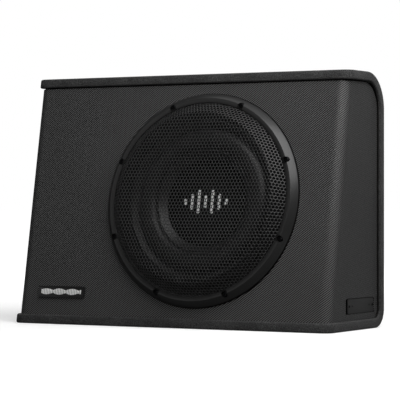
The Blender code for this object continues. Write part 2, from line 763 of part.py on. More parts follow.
def build_amp_panel():
    outer = -SIDE_FACE - GAP
    flange = plate_mesh("flange", [rounded_rectangle(*PANEL_FLANGE, 0.008)], 0.0015)
    flange.transform(Matrix.Translation((outer - 0.00075, PANEL_Y, PANEL_Z)) @ TO_SIDE)
    body_depth = TRAY_BACK - outer + 0.0007
    body = plate_mesh("tray", [rounded_rectangle(*PANEL_BODY, 0.0057)], body_depth)
    body.transform(Matrix.Translation((TRAY_BACK - body_depth / 2, PANEL_Y, PANEL_Z)) @ TO_SIDE)
    panel = link(bpy.data.objects.new("amp_panel", flange), aluminium)
    cut(panel, make_cutter(bpy.data.objects.new("tray_block", body)), "UNION")
    pocket = (PANEL_BODY[0] - 0.005, PANEL_BODY[1] - 0.005)
    tray = side_slot("tray_pocket", pocket, 0.0035, (PANEL_Y, PANEL_Z), outer - 0.01, FLOOR_X)
    cut(panel, tray)
    holes = [panel_hole(None, place, 0.0034) for place in KNOB_PLACES.values()]
    holes += [panel_hole(None, place, 0.0034) for place in RCA_PLACES.values()]
    holes.append(panel_hole(None, LED_PLACE, 0.0019))
    holes.append(panel_hole((0.0046, 0.0096), SWITCH_PLACE))
    holes.append(panel_hole((0.0226, 0.0106), SOCKET_PLACE))
    holes.append(panel_hole((0.0216, 0.0086), FUSE_PLACE))
    holes.append(panel_hole((0.0446, 0.0126), POWER_PLACE))
    cut(panel, joined("panel_holes", holes))
    screws = []
    for y in (-1, 1):
        for z in (-1, 1):
            screws.append((PANEL_Y + y * PANEL_SCREW_REACH[0], PANEL_Z + z * PANEL_SCREW_REACH[1]))
    through = rod_mesh("panel_screw_hole", 0.0017, 0.030, 8)
    placed = [(through, Matrix.Translation((-SIDE_FACE, *place)) @ ALONG_X) for place in screws]
    screw_cut = joined("panel_screw_holes", placed)
    cut(panel, screw_cut)
    cut(bpy.data.objects["vinyl_cover"], screw_cut)
    cut(bpy.data.objects["side_panel_left"], screw_cut)
    mesh = screw_mesh("amp_screw", 0.0031, 0.0018, 0.0014, 0.012, 8)
    mesh.materials.append(screw_steel)
    for i, (y, z) in enumerate(screws):
        screw = bpy.data.objects.new(f"amp_screw_{i + 1}", mesh)
        screw.location = (outer - 0.0015 - GAP, y, z)
        screw.rotation_euler = (0.0, -math.pi / 2, 0.0)
        parts.objects.link(screw)


def out_of_panel(name, profile, place, material, steps=16):
    """A turned control whose local Z points out of the panel, with its origin on the tray floor."""
    obj = turned(name, profile, steps, material, closed=profile[0][0] > 0)
    obj.location = (FLOOR_X, *place)
    obj.rotation_euler = (0.0, -math.pi / 2, 0.0)
    return obj


def build_controls():
    knob = [
        (0.0, 0.0082), (0.0054, 0.0082), (0.0062, 0.0074), (0.0068, 0.0012), (0.0068, 0.0005),
        (0.0030, 0.0005), (0.0030, -0.0090), (0.0, -0.0090),
    ]
    for name, place in KNOB_PLACES.items():
        obj = out_of_panel(name, knob, place, matt_black)
        slot = joined(name + "_slot", [(box_mesh("slot", (0.0014, 0.0060, 0.0020), (0.0, 0.0036, 0.0086)), Matrix())])
        slot.parent = obj
        cut(obj, slot)
    switch = box("phase_switch", (0.0090, 0.0040, 0.0050), (0.0, 0.0, 0.0), white_plastic, 0.0004)
    switch.location = (FLOOR_X + 0.0005, SWITCH_PLACE[0], SWITCH_PLACE[1] - 0.0020)
    lens = [(0.0, 0.0014), (0.0010, 0.0011), (0.0016, 0.0), (0.0016, -0.0060), (0.0, -0.0060)]
    out_of_panel("status_led", lens, LED_PLACE, blue_lens, 10)
    jack = [(0.0041, 0.0080), (0.0041, 0.0004), (0.0031, 0.0004), (0.0031, -0.0080), (0.0012, -0.0080), (0.0017, 0.0080)]
    for name, place in RCA_PLACES.items():
        out_of_panel(name, jack, place, plated_steel, SMALL_ROUND)
    build_connectors()


def build_connectors():
    socket = box("high_level_socket", (0.0150, 0.0220, 0.0100), (0.0, 0.0, 0.0), matt_black)
    socket.location = (FLOOR_X + 0.0035, *SOCKET_PLACE)
    cavity = joined("socket_cavity", [(box_mesh("cavity", (0.0120, 0.0190, 0.0070), (-0.0045, 0.0, 0.0)), Matrix())])
    cavity.parent = socket
    cut(socket, cavity)
    fuse = box("fuse", (0.0140, 0.0190, 0.0052), (0.0, 0.0, 0.0), fuse_plastic, 0.0006)
    fuse.location = (FLOOR_X + 0.0005, *FUSE_PLACE)
    terminal = box("power_terminal", (0.0150, 0.0440, 0.0120), (0.0, 0.0, 0.0), matt_black)
    terminal.location = (FLOOR_X + 0.0010, *POWER_PLACE)
    bays = [
        (box_mesh("bay", (0.0075, 0.0115, 0.0180), (-0.0052, y, -0.0050)), Matrix())
        for y in (-0.0140, 0.0, 0.0140)
    ]
    wells = joined("terminal_bays", bays)
    wells.parent = terminal
    cut(terminal, wells)


AMP_FAR_X = -0.196             # inner end of the amplifier's housing
AMP_SIZE = (0.0700, 0.2040)


def build_amplifier():
    depth = AMP_FAR_X - TRAY_BACK - GAP
    middle = TRAY_BACK + GAP + depth / 2
    housing = plate("amp_housing", [rounded_rectangle(*AMP_SIZE, 0.003, 2)], depth, plated_steel,
                    Matrix.Translation((middle, PANEL_Y, PANEL_Z)) @ TO_SIDE)
    hollow = (AMP_SIZE[0] - 0.0024, AMP_SIZE[1] - 0.0024)
    cut(housing, side_slot("housing_hollow", hollow, 0.0018, (PANEL_Y, PANEL_Z), TRAY_BACK - 0.01, AMP_FAR_X - 0.0012))
    cut(housing, joined("housing_lead_hole", [
        (rod_mesh("gland", 0.0034, 0.02, 10), Matrix.Translation((AMP_FAR_X, LEAD_Y, LEAD_Z)) @ ALONG_X)
    ]))
    box("amp_circuit_board", (0.0016, 0.0640, 0.1960), (-0.2290, PANEL_Y, PANEL_Z), circuit_green)
    fins = [(0.0, 0.0), (0.0520, 0.0), (0.0520, 0.0030)]
    for i in range(6, -1, -1):
        start = 0.0520 * i / 7 + 0.0022
        fins += [(start + 0.0022, 0.0030), (start + 0.0022, 0.0160), (start, 0.0160), (start, 0.0030)]
    fins.append((0.0, 0.0030))
    sink = plate("heat_sink", [fins], 0.060, aluminium)
    turn = Matrix(((0, 1, 0, TRAY_BACK + 0.0095), (1, 0, 0, PANEL_Y - 0.026), (0, 0, -1, 0.1400), (0, 0, 0, 1)))
    sink.data.transform(turn)
    weld(sink.data)
    core = [(0.0200, 0.0090), (0.0200, -0.0090), (0.0080, -0.0090), (0.0080, 0.0090)]
    toroid = turned("power_transformer", core, 20, copper)
    toroid.location = (-0.2175, PANEL_Y, 0.2400)
    toroid.rotation_euler = (0.0, math.pi / 2, 0.0)
    can = rod_mesh("filter_capacitor", 0.0080, 0.0220, 16)
    can.transform(ALONG_X)
    can.materials.append(matt_black)
    for i, offset in enumerate((-0.014, 0.014)):
        capacitor = bpy.data.objects.new(f"filter_capacitor_{i + 1}", can)
        capacitor.location = (-0.2168, PANEL_Y + offset, 0.1900)
        parts.objects.link(capacitor)


def build_speaker_lead():
    """Two-core lead from the amplifier through the divider to the driver's terminal."""
    start = AMP_FAR_X - 0.006
    route = [
        (start, LEAD_Y, LEAD_Z), (-0.180, LEAD_Y, LEAD_Z), (-0.150, LEAD_Y, LEAD_Z), (-0.112, LEAD_Y, LEAD_Z),
        (-0.092, 0.043, 0.116), (-0.080, 0.026, 0.136), (-0.073, -0.004, 0.160), (-0.0720, -0.0245, 0.1710),
    ]
    cable("speaker_lead", route, 0.0025, rubber, 4)


build_amp_panel()
build_controls()
build_amplifier()
build_speaker_lead()
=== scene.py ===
# Powered car subwoofer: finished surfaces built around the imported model

import json
import math

import bmesh
import bpy
from mathutils import Matrix, Vector


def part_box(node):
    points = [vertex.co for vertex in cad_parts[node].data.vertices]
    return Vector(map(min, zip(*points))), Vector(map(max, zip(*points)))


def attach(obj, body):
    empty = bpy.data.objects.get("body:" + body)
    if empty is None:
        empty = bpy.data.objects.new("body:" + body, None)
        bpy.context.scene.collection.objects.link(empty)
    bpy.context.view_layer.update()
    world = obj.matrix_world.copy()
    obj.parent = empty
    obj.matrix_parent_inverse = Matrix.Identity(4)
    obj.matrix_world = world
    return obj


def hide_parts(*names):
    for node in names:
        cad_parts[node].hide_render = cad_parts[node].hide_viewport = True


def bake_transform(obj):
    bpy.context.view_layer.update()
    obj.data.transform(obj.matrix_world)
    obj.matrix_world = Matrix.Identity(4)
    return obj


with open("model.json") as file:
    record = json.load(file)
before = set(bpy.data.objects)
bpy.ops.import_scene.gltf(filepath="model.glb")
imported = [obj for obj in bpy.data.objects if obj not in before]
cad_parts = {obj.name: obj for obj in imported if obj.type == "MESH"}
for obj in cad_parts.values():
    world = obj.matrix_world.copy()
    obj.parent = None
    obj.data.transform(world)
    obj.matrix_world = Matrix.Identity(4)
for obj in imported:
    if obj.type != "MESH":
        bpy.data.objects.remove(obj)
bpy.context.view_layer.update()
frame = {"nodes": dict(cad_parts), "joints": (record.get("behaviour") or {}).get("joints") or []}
cadNodes = frame["nodes"]
fixedBody = "enclosure"
coneBody = "cone_assembly"

# places read from the model

boxSettings = {
    "board": 0.014,            # wrapped board
    "pile": 0.0012,            # the carpet's pile over the board's ends
    "topBackRadius": 0.055,
    "bottomBackRadius": 0.028,
    "planCorner": 0.018,       # front corners seen from above
    "softEdge": 0.0026,        # carpet rounding over the board's edges
    "bareMargin": 0.0018,      # the back board is bare this far past the vinyl's ends
    "rows": 24,                # cuts across the long faces, so the shell can be shaded evenly
}

vinylSettings = {
    "thickness": 0.001,
    "corner": 0.018,
    "topSeam": 0.0016,         # the vinyl ends this far under the top board
    "backSeam": 0.0026,        # and this far in front of the back board
    "driverHole": 0.139,
    "groove": (0.1612, 0.1629),    # radii of the dark line round the trim ring
    "slot": 0.0090,            # the cable slot's width in front of the cover plate
    "slotGap": 0.0006,
    "trayLap": 0.0073,         # the tray's flange covers its hole by this much
}

boxLow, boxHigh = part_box("wrap_board")
vinylLow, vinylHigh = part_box("vinyl_cover")
stroke = [j for j in frame["joints"] if j["name"] == "cone_stroke"][0]
outward = Vector(stroke["axis"]).normalized()      # the driver's axis, out of the front
upFront = Vector((1, 0, 0)).cross(outward) * -1    # up along the leaning front
tilt = math.atan2(outward.z, -outward.y)

def driverMatrix():    # local X right, Y up the front, Z outwards, with zero on the front's surface
    points = [v.co for v in cadNodes["trim_ring"].data.vertices]
    ups = [p.dot(upFront) for p in points]
    outs = [p.dot(outward) for p in points]
    gap = 0.0003               # the ring stands this far off the vinyl
    middle = Vector(((min(p.x for p in points) + max(p.x for p in points)) / 2, 0, 0))
    middle += upFront * (min(ups) + max(ups)) / 2 + outward * (min(outs) - gap)
    columns = (Vector((1, 0, 0)), upFront, outward)
    turn = Matrix([[c[i] for c in columns] for i in range(3)]).to_4x4()
    return Matrix.Translation(middle) @ turn

driverPlace = driverMatrix()
frontLow = driverPlace.translation.y - driverPlace.translation.z * math.tan(tilt)

def frontY(z):                 # Y of the front's surface at height z
    return frontLow + z * math.tan(tilt)

print("frame loaded, driver at", [round(c, 4) for c in driverPlace.translation])

# materials

def newMaterial(name, **values):
    material = bpy.data.materials.new(name)
    material.use_nodes = True
    shader = material.node_tree.nodes["Principled BSDF"]
    for socket, value in values.items():
        shader.inputs[socket.replace("_", " ")].default_value = value
    return material, material.node_tree, shader

def addNode(tree, kind, settings=None, **inputs):
    node = tree.nodes.new("ShaderNode" + kind)
    for name, value in (settings or {}).items():
        setattr(node, name, value)
    for name, value in inputs.items():
        socket = node.inputs[int(name[1:])] if name[0] == "i" and name[1:].isdigit() else node.inputs[name]
        if isinstance(value, bpy.types.NodeSocket):
            tree.links.new(value, socket)
        else:
            socket.default_value = value
    return node

def grey(value):
    return (value, value, value, 1)

# object coordinates, or the same turned into a piece's own axes by a Mapping node
def objectPoint(tree, place=None):
    point = addNode(tree, "TexCoord").outputs["Object"]
    if place is None:
        return point
    inverse = place.inverted()
    mapping = addNode(tree, "Mapping", Vector=point)
    mapping.inputs["Rotation"].default_value = inverse.to_euler()
    mapping.inputs["Location"].default_value = inverse.translation
    return mapping.outputs["Vector"]

def noiseOf(tree, point, scale, detail=2.0, rough=0.5):
    noise = addNode(tree, "TexNoise", Vector=point, Scale=scale, Detail=detail, Roughness=rough)
    return noise.outputs["Fac"]

def ramp(tree, factor, stops):
    node = addNode(tree, "ValToRGB", Fac=factor)
    elements = node.color_ramp.elements
    while len(elements) < len(stops):
        elements.new(0.5)
    for element, (position, colour) in zip(elements, stops):
        element.position = position
        element.color = colour
    return node.outputs["Color"]

def mathOf(tree, operation, first, second=0.0):
    return addNode(tree, "Math", {"operation": operation}, i0=first, i1=second).outputs[0]

def rangeOf(tree, value, low, high, first, last):
    node = addNode(tree, "MapRange", Value=value)
    for name, number in (("From Min", low), ("From Max", high), ("To Min", first), ("To Max", last)):
        node.inputs[name].default_value = number
    return node.outputs["Result"]

def bumpOf(tree, shader, height, distance, strength):
    node = addNode(tree, "Bump", Height=height, Distance=distance, Strength=strength)
    tree.links.new(node.outputs["Normal"], shader.inputs["Normal"])

def carpetFinish():
    material, tree, shader = newMaterial("charcoalCarpet", Roughness=0.95, Specular_IOR_Level=0.1,
                                         Sheen_Weight=0.12, Sheen_Roughness=0.5, Sheen_Tint=grey(0.6))
    point = objectPoint(tree)
    fine = noiseOf(tree, point, 1300, 2.0, 0.7)
    tuft = noiseOf(tree, point, 640, 3.0, 0.7)
    cloud = noiseOf(tree, point, 30, 2.0)
    mixed = mathOf(tree, "ADD", mathOf(tree, "MULTIPLY", mathOf(tree, "ADD", fine, tuft), 0.45),
                   mathOf(tree, "MULTIPLY", cloud, 0.10))
    colour = ramp(tree, mixed, [(0.38, grey(0.008)), (0.50, grey(0.034)), (0.64, grey(0.100))])
    tree.links.new(colour, shader.inputs["Base Color"])
    bumpOf(tree, shader, mathOf(tree, "ADD", fine, tuft), 0.0010, 0.7)
    return material

def wovenFinish():    # embossed twill on the vinyl's own UV map, whose unit is the metre
    weave = {"warp": 0.00150, "weft": 0.00116, "repeat": 3, "dark": 0.002, "light": 0.105}
    material, tree, shader = newMaterial("wovenVinyl", Roughness=0.42, Specular_IOR_Level=0.3)
    uv = addNode(tree, "UVMap", {"uv_map": "weave"}).outputs["UV"]
    split = addNode(tree, "SeparateXYZ", Vector=uv)
    across = mathOf(tree, "DIVIDE", split.outputs[0], weave["warp"])
    along = mathOf(tree, "DIVIDE", split.outputs[1], weave["weft"])
    step = mathOf(tree, "MULTIPLY", mathOf(tree, "SUBTRACT", across, along), 2 * math.pi / weave["repeat"])
    twill = rangeOf(tree, mathOf(tree, "SINE", step), -0.6, 0.6, 0.0, 1.0)
    warp = mathOf(tree, "ABSOLUTE", mathOf(tree, "SINE", mathOf(tree, "MULTIPLY", across, math.pi)))
    weft = mathOf(tree, "ABSOLUTE", mathOf(tree, "SINE", mathOf(tree, "MULTIPLY", along, math.pi)))
    thread = mathOf(tree, "MULTIPLY", mathOf(tree, "ADD", warp, weft), 0.5)
    grain = noiseOf(tree, uv, 900, 2.0)
    height = mathOf(tree, "ADD", twill, mathOf(tree, "MULTIPLY", mathOf(tree, "ADD", thread, grain), 0.3))
    tone = mathOf(tree, "MULTIPLY", twill, mathOf(tree, "ADD", mathOf(tree, "MULTIPLY", thread, 0.4), 0.7))
    blotch = noiseOf(tree, uv, 9, 3.0)
    shade = addNode(tree, "MixRGB", {"blend_type": "MULTIPLY"}, Fac=1.0,
                    Color1=ramp(tree, tone, [(0.0, grey(weave["dark"])), (0.95, grey(weave["light"]))]),
                    Color2=ramp(tree, blotch, [(0.25, grey(0.9)), (0.75, grey(1.0))]))
    tree.links.new(shade.outputs["Color"], shader.inputs["Base Color"])
    tree.links.new(rangeOf(tree, height, 0.0, 1.4, 0.50, 0.32), shader.inputs["Roughness"])
    tree.links.new(rangeOf(tree, twill, 0.0, 1.0, 0.05, 0.60), shader.inputs["Specular IOR Level"])
    bumpOf(tree, shader, height, 0.00022, 0.8)
    return material

# a moulding with fine spark grain and slow changes of gloss
def plasticFinish(name, shade, roughness, grainScale, grain, shine=0.5):
    material, tree, shader = newMaterial(name, Roughness=roughness, Specular_IOR_Level=shine)
    point = objectPoint(tree)
    spark = noiseOf(tree, point, grainScale, 2.0)
    cloud = noiseOf(tree, point, 18, 3.0)
    colour = ramp(tree, cloud, [(0.3, grey(shade * 0.82)), (0.7, grey(shade * 1.15))])
    tree.links.new(colour, shader.inputs["Base Color"])
    wander = mathOf(tree, "ADD", spark, cloud)
    gloss = rangeOf(tree, wander, 0.0, 2.0, roughness * 0.8, roughness * 1.25)
    tree.links.new(gloss, shader.inputs["Roughness"])
    bumpOf(tree, shader, spark, grain, 0.7)
    return material

def paintedSteelFinish():
    material, tree, shader = newMaterial("blackPowderCoat", Roughness=0.34, Specular_IOR_Level=0.5)
    point = objectPoint(tree)
    peel = noiseOf(tree, point, 700, 2.0)
    wear = noiseOf(tree, point, 60, 3.0)
    colour = ramp(tree, wear, [(0.3, grey(0.023)), (0.7, grey(0.032))])
    tree.links.new(colour, shader.inputs["Base Color"])
    bumpOf(tree, shader, peel, 0.00006, 0.6)
    return material

# a round piece with fine rings about the driver's axis
def turnedFinish(name, shade, roughness, rings, depth, shine):
    material, tree, shader = newMaterial(name, Roughness=roughness, Specular_IOR_Level=shine)
    point = objectPoint(tree, driverPlace)
    split = addNode(tree, "SeparateXYZ", Vector=point)
    flat = addNode(tree, "CombineXYZ", X=split.outputs[0], Y=split.outputs[1])
    reach = addNode(tree, "VectorMath", {"operation": "LENGTH"}, i0=flat.outputs[0]).outputs["Value"]
    ring = mathOf(tree, "SINE", mathOf(tree, "MULTIPLY", reach, rings))
    fibre = noiseOf(tree, point, 380, 3.0)
    colour = ramp(tree, fibre, [(0.3, grey(shade * 0.75)), (0.7, grey(shade * 1.2))])
    tree.links.new(colour, shader.inputs["Base Color"])
    height = mathOf(tree, "ADD", ring, fibre)
    bumpOf(tree, shader, height, depth, 0.6)
    return material

# bare or plated metal with drawn lines along one direction
def metalFinish(name, colour, roughness, scratch=(6, 260, 260)):
    material, tree, shader = newMaterial(name, Roughness=roughness, Metallic=1.0)
    point = addNode(tree, "Mapping", Vector=objectPoint(tree), Scale=scratch).outputs["Vector"]
    lines = noiseOf(tree, point, 1.0, 4.0, 0.6)
    low = tuple(c * 0.8 for c in colour) + (1,)
    high = tuple(min(1, c * 1.1) for c in colour) + (1,)
    tree.links.new(ramp(tree, lines, [(0.3, low), (0.7, high)]), shader.inputs["Base Color"])
    gloss = rangeOf(tree, lines, 0.0, 1.0, roughness * 0.75, roughness * 1.3)
    tree.links.new(gloss, shader.inputs["Roughness"])
    bumpOf(tree, shader, lines, 0.00004, 0.5)
    return material

# a dull material of one colour with a noise grain: board, rubber, ferrite, cloth
def grainFinish(name, colour, roughness, scale, depth, spread=0.25, shine=0.5):
    material, tree, shader = newMaterial(name, Roughness=roughness, Specular_IOR_Level=shine)
    point = objectPoint(tree)
    grain = noiseOf(tree, point, scale, 4.0, 0.65)
    low = tuple(c * (1 - spread) for c in colour) + (1,)
    high = tuple(min(1, c * (1 + spread)) for c in colour) + (1,)
    tree.links.new(ramp(tree, grain, [(0.3, low), (0.7, high)]), shader.inputs["Base Color"])
    bumpOf(tree, shader, grain, depth, 0.7)
    return material

def windingFinish():    # enamelled copper wire wound in fine turns
    material, tree, shader = newMaterial("enamelledCopper", Roughness=0.32, Metallic=1.0)
    point = objectPoint(tree, driverPlace)
    wave = addNode(tree, "TexWave", {"bands_direction": "Z"}, Vector=point, Scale=900.0, Distortion=0.4)
    colour = ramp(tree, wave.outputs["Fac"], [(0.2, (0.20, 0.07, 0.025, 1)), (0.8, (0.62, 0.27, 0.12, 1))])
    tree.links.new(colour, shader.inputs["Base Color"])
    bumpOf(tree, shader, wave.outputs["Fac"], 0.0002, 0.8)
    return material

def boardFinish():    # green solder mask with lighter copper tracks under it
    material, tree, shader = newMaterial("circuitBoard", Roughness=0.4)
    point = objectPoint(tree)
    tracks = addNode(tree, "TexBrick", Vector=point, Scale=90.0)
    tracks.inputs["Color1"].default_value = (0.015, 0.10, 0.04, 1)
    tracks.inputs["Color2"].default_value = (0.02, 0.13, 0.05, 1)
    tracks.inputs["Mortar"].default_value = (0.07, 0.26, 0.10, 1)
    tree.links.new(tracks.outputs["Color"], shader.inputs["Base Color"])
    bumpOf(tree, shader, tracks.outputs["Fac"], 0.00005, 0.5)
    return material

finish = {
    "carpet": carpetFinish(),
    "weave": wovenFinish(),
    "trim": plasticFinish("satinTrim", 0.016, 0.30, 700, 0.00002, shine=0.35),
    "mould": plasticFinish("blackMoulding", 0.027, 0.5, 900, 0.00006),
    "knob": plasticFinish("knobPlastic", 0.018, 0.38, 900, 0.00004),
    "mesh": paintedSteelFinish(),
    "cone": turnedFinish("ribbedCone", 0.0045, 0.40, 5200, 0.00008, 0.36),
    "cap": turnedFinish("dustCapPlastic", 0.004, 0.26, 2600, 0.00002, 0.08),
    "surround": grainFinish("foamRubber", (0.005, 0.005, 0.0051), 0.42, 420, 0.00006, shine=0.26),
    "rubber": grainFinish("blackRubber", (0.006, 0.006, 0.006), 0.8, 300, 0.00010, shine=0.15),
    # near-black stained board, whose darkness is also painted shade where it shows in the groove round the
    # trim ring, the gap behind the vinyl and the cable slot
    "fibreboard": grainFinish("stainAndShadeFibreboard", (0.0060, 0.0056, 0.0054), 0.9, 240, 0.0002, shine=0.1),
    "rawBoard": grainFinish("rawFibreboard", (0.40, 0.29, 0.18), 0.85, 240, 0.0002, 0.15),
    "screw": metalFinish("blackZinc", (0.016, 0.016, 0.017), 0.42, (300, 300, 300)),
    "plated": metalFinish("zincPlate", (0.56, 0.56, 0.57), 0.38),
    "aluminium": metalFinish("drawnAluminium", (0.60, 0.60, 0.61), 0.36),
    "anodised": metalFinish("blackAnodised", (0.12, 0.12, 0.125), 0.42, (260, 260, 5)),
    "brass": metalFinish("goldPlate", (0.72, 0.50, 0.20), 0.28, (300, 300, 300)),
    "ferrite": grainFinish("sinteredFerrite", (0.035, 0.035, 0.038), 0.75, 160, 0.0002),
    "cloth": grainFinish("resinCloth", (0.50, 0.36, 0.16), 0.85, 500, 0.0003),
    "copper": windingFinish(),
    "circuit": boardFinish(),
    "basket": grainFinish("blackEnamel", (0.006, 0.006, 0.006), 0.5, 260, 0.00005, shine=0.15),
    "light": grainFinish("whitePrint", (0.88, 0.88, 0.87), 0.5, 300, 0.00003, 0.05),
    "switch": grainFinish("whiteNylon", (0.66, 0.66, 0.63), 0.45, 300, 0.00003, 0.05),
    "red": grainFinish("redNylon", (0.45, 0.02, 0.02), 0.4, 300, 0.00003, 0.1),
    "fuse": grainFinish("greenFuse", (0.06, 0.33, 0.10), 0.3, 200, 0.00003, 0.12),
    "lens": grainFinish("blueLens", (0.04, 0.16, 0.70), 0.15, 120, 0.00002, 0.15),
}
print("materials made:", len(finish))

# shared making steps

# turns finished bmesh work into a piece that rides on a body
def addPiece(name, work, material, body, replaced=(), smooth=32):
    mesh = bpy.data.meshes.new(name)
    work.to_mesh(mesh)
    work.free()
    piece = bpy.data.objects.new(name, mesh)
    bpy.context.scene.collection.objects.link(piece)
    mesh.materials.append(finish[material])
    mesh.shade_smooth()
    mesh.set_sharp_from_angle(angle=math.radians(smooth))
    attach(piece, body)
    if replaced:
        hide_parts(*replaced)
    return piece

# rounds the edges that turn by more than the least angle, in degrees
def bevelSharp(work, width, segments=3, least=28, where=lambda edge: True):
    low, folded = math.radians(least), math.radians(179)
    edges = [e for e in work.edges
             if len(e.link_faces) == 2 and low < e.calc_face_angle(0) < folded and where(e)]
    bmesh.ops.bevel(work, geom=edges, offset=width, offset_type="OFFSET", segments=segments, profile=0.5,
                    affect="EDGES", material=-1, clamp_overlap=True)

# spins a list of (radius, height) about Z into a closed body
def turnProfile(profile, steps, closed=True):
    work = bmesh.new()
    verts = [work.verts.new((r, 0, h)) for r, h in profile]
    edges = [work.edges.new(pair) for pair in zip(verts, verts[1:])]
    if closed:
        edges.append(work.edges.new((verts[-1], verts[0])))
    bmesh.ops.spin(work, geom=verts + edges, cent=(0, 0, 0), axis=(0, 0, 1), angle=2 * math.pi, steps=steps,
                   use_merge=True)
    bmesh.ops.remove_doubles(work, verts=work.verts, dist=0.000002)
    bmesh.ops.recalc_face_normals(work, faces=work.faces)
    return work

def outlineFace(work, corners):
    return work.faces.new([work.verts.new(c) for c in corners])

def roundCorner(work, vert, radius, segments):
    bmesh.ops.bevel(work, geom=[vert], offset=radius, offset_type="OFFSET", segments=segments, profile=0.5,
                    affect="VERTICES", material=-1)

# a flat plate about the XY plane with round corners, its top at +thickness
def roundedPlate(width, height, radius, thickness, segments=6):
    work = bmesh.new()
    x, y = width / 2, height / 2
    face = outlineFace(work, [(-x, -y, 0), (x, -y, 0), (x, y, 0), (-x, y, 0)])
    if radius:
        for vert in list(face.verts):
            roundCorner(work, vert, radius, segments)
    extrudeAll(work, (0, 0, thickness))
    return work

def extrudeAll(work, by):    # gives flat faces a thickness and turns the shell outwards
    grown = bmesh.ops.extrude_face_region(work, geom=list(work.faces), use_keep_orig=True)
    moved = [g for g in grown["geom"] if isinstance(g, bmesh.types.BMVert)]
    bmesh.ops.translate(work, verts=moved, vec=by)
    bmesh.ops.recalc_face_normals(work, faces=work.faces)

def place(work, matrix):
    bmesh.ops.transform(work, matrix=matrix, verts=work.verts)
    return work

def rod(radius, length, sides, matrix):
    work = bmesh.new()
    bmesh.ops.create_cone(work, cap_ends=True, segments=sides, radius1=radius, radius2=radius, depth=length)
    return place(work, matrix)

def box3(size, centre):
    work = bmesh.new()
    bmesh.ops.create_cube(work, size=1.0)
    bmesh.ops.scale(work, verts=work.verts, vec=size)
    bmesh.ops.translate(work, verts=work.verts, vec=centre)
    return work

def join(*works):
    whole = bmesh.new()
    for work in works:
        mesh = bpy.data.meshes.new("part")
        work.to_mesh(mesh)
        work.free()
        whole.from_mesh(mesh)
        bpy.data.meshes.remove(mesh)
    return whole

# cuts one bmesh by another with an exact Boolean and gives the result back
def cutWith(work, cutter, operation="DIFFERENCE"):
    objects = []
    for name, source in (("body", work), ("tool", cutter)):
        mesh = bpy.data.meshes.new(name)
        source.to_mesh(mesh)
        source.free()
        obj = bpy.data.objects.new(name, mesh)
        bpy.context.scene.collection.objects.link(obj)
        objects.append(obj)
    modifier = objects[0].modifiers.new("cut", "BOOLEAN")
    modifier.operation = operation
    modifier.object = objects[1]
    evaluated = objects[0].evaluated_get(bpy.context.evaluated_depsgraph_get())
    result = bmesh.new()
    result.from_mesh(evaluated.to_mesh())
    evaluated.to_mesh_clear()
    for obj in objects:
        mesh = obj.data
        bpy.data.objects.remove(obj)
        bpy.data.meshes.remove(mesh)
    bmesh.ops.remove_doubles(result, verts=result.verts, dist=0.000002)
    return result

def sliceAcross(work, at, along):
    geometry = list(work.verts) + list(work.edges) + list(work.faces)
    bmesh.ops.bisect_plane(work, geom=geometry, plane_co=at, plane_no=along)

def ringPlaces(count, radius, first):
    angles = [math.radians(first + i * 360 / count) for i in range(count)]
    return [(radius * math.cos(a), radius * math.sin(a)) for a in angles]

# carpeted shell

def wrapOutline(work):    # the C of the shell in Y and Z at X = 0, corners rounded in place
    s = boxSettings
    back, top = boxHigh.y, boxHigh.z
    low = s["board"]
    high = top - low
    frontTop = frontY(top) - (frontY(0) - boxLow.y)
    frontHigh = frontY(high) - (frontY(0) - boxLow.y)
    frontLowIn = frontY(low) - (frontY(0) - boxLow.y)
    corners = [(0, boxLow.y, 0), (0, back, 0), (0, back, top), (0, frontTop, top), (0, frontHigh, high),
               (0, back - low, high), (0, back - low, low), (0, frontLowIn, low)]
    face = outlineFace(work, corners)
    v = list(face.verts)
    roundings = ((v[1], s["bottomBackRadius"], 14), (v[2], s["topBackRadius"], 20),
                 (v[5], s["topBackRadius"] - low, 20), (v[6], s["bottomBackRadius"] - low, 10))
    for vert, radius, segments in roundings:
        roundCorner(work, vert, radius, segments)

def makeShell():
    s = boxSettings
    work = bmesh.new()
    wrapOutline(work)
    bmesh.ops.translate(work, verts=work.verts, vec=(boxLow.x - s["pile"], 0, 0))
    extrudeAll(work, (boxHigh.x - boxLow.x + 2 * s["pile"], 0, 0))
    upright = [e for e in work.edges if isFrontCorner(e)]
    bmesh.ops.bevel(work, geom=upright, offset=s["planCorner"], offset_type="OFFSET", segments=10,
                    profile=0.5, affect="EDGES", material=-1)
    bevelSharp(work, s["softEdge"], 4, least=40)
    bareWidth = vinylHigh.x + s["bareMargin"]
    rows = [boxLow.x + (boxHigh.x - boxLow.x) * i / s["rows"] for i in range(1, s["rows"])]
    for x in rows + [-bareWidth, bareWidth]:
        sliceAcross(work, (x, 0, 0), (1, 0, 0))
    bareBack = boxHigh.y - s["topBackRadius"]
    for face in work.faces:    # the back board is bare where it looks into the box; its near-black board there is painted shade in the gap behind the vinyl
        middle = face.calc_center_median()
        if face.normal.y < -0.3 and middle.y > bareBack and abs(middle.x) < bareWidth:
            face.material_index = 1
    piece = addPiece("carpetShell", work, "carpet", fixedBody, ["wrap_board"], 50)
    piece.data.materials.append(finish["fibreboard"])
    return piece

def isFrontCorner(edge):
    a, b = (v.co for v in edge.verts)
    onEnd = abs(abs(a.x) - boxHigh.x - boxSettings["pile"]) < 1e-5 and abs(a.x - b.x) < 1e-6
    return onEnd and abs(a.z - b.z) > 0.01 and max(a.y - frontY(a.z), b.y - frontY(b.z)) < 0.001

shell = makeShell()
print("carpet shell:", len(shell.data.polygons), "faces")

# woven vinyl over the front and both ends

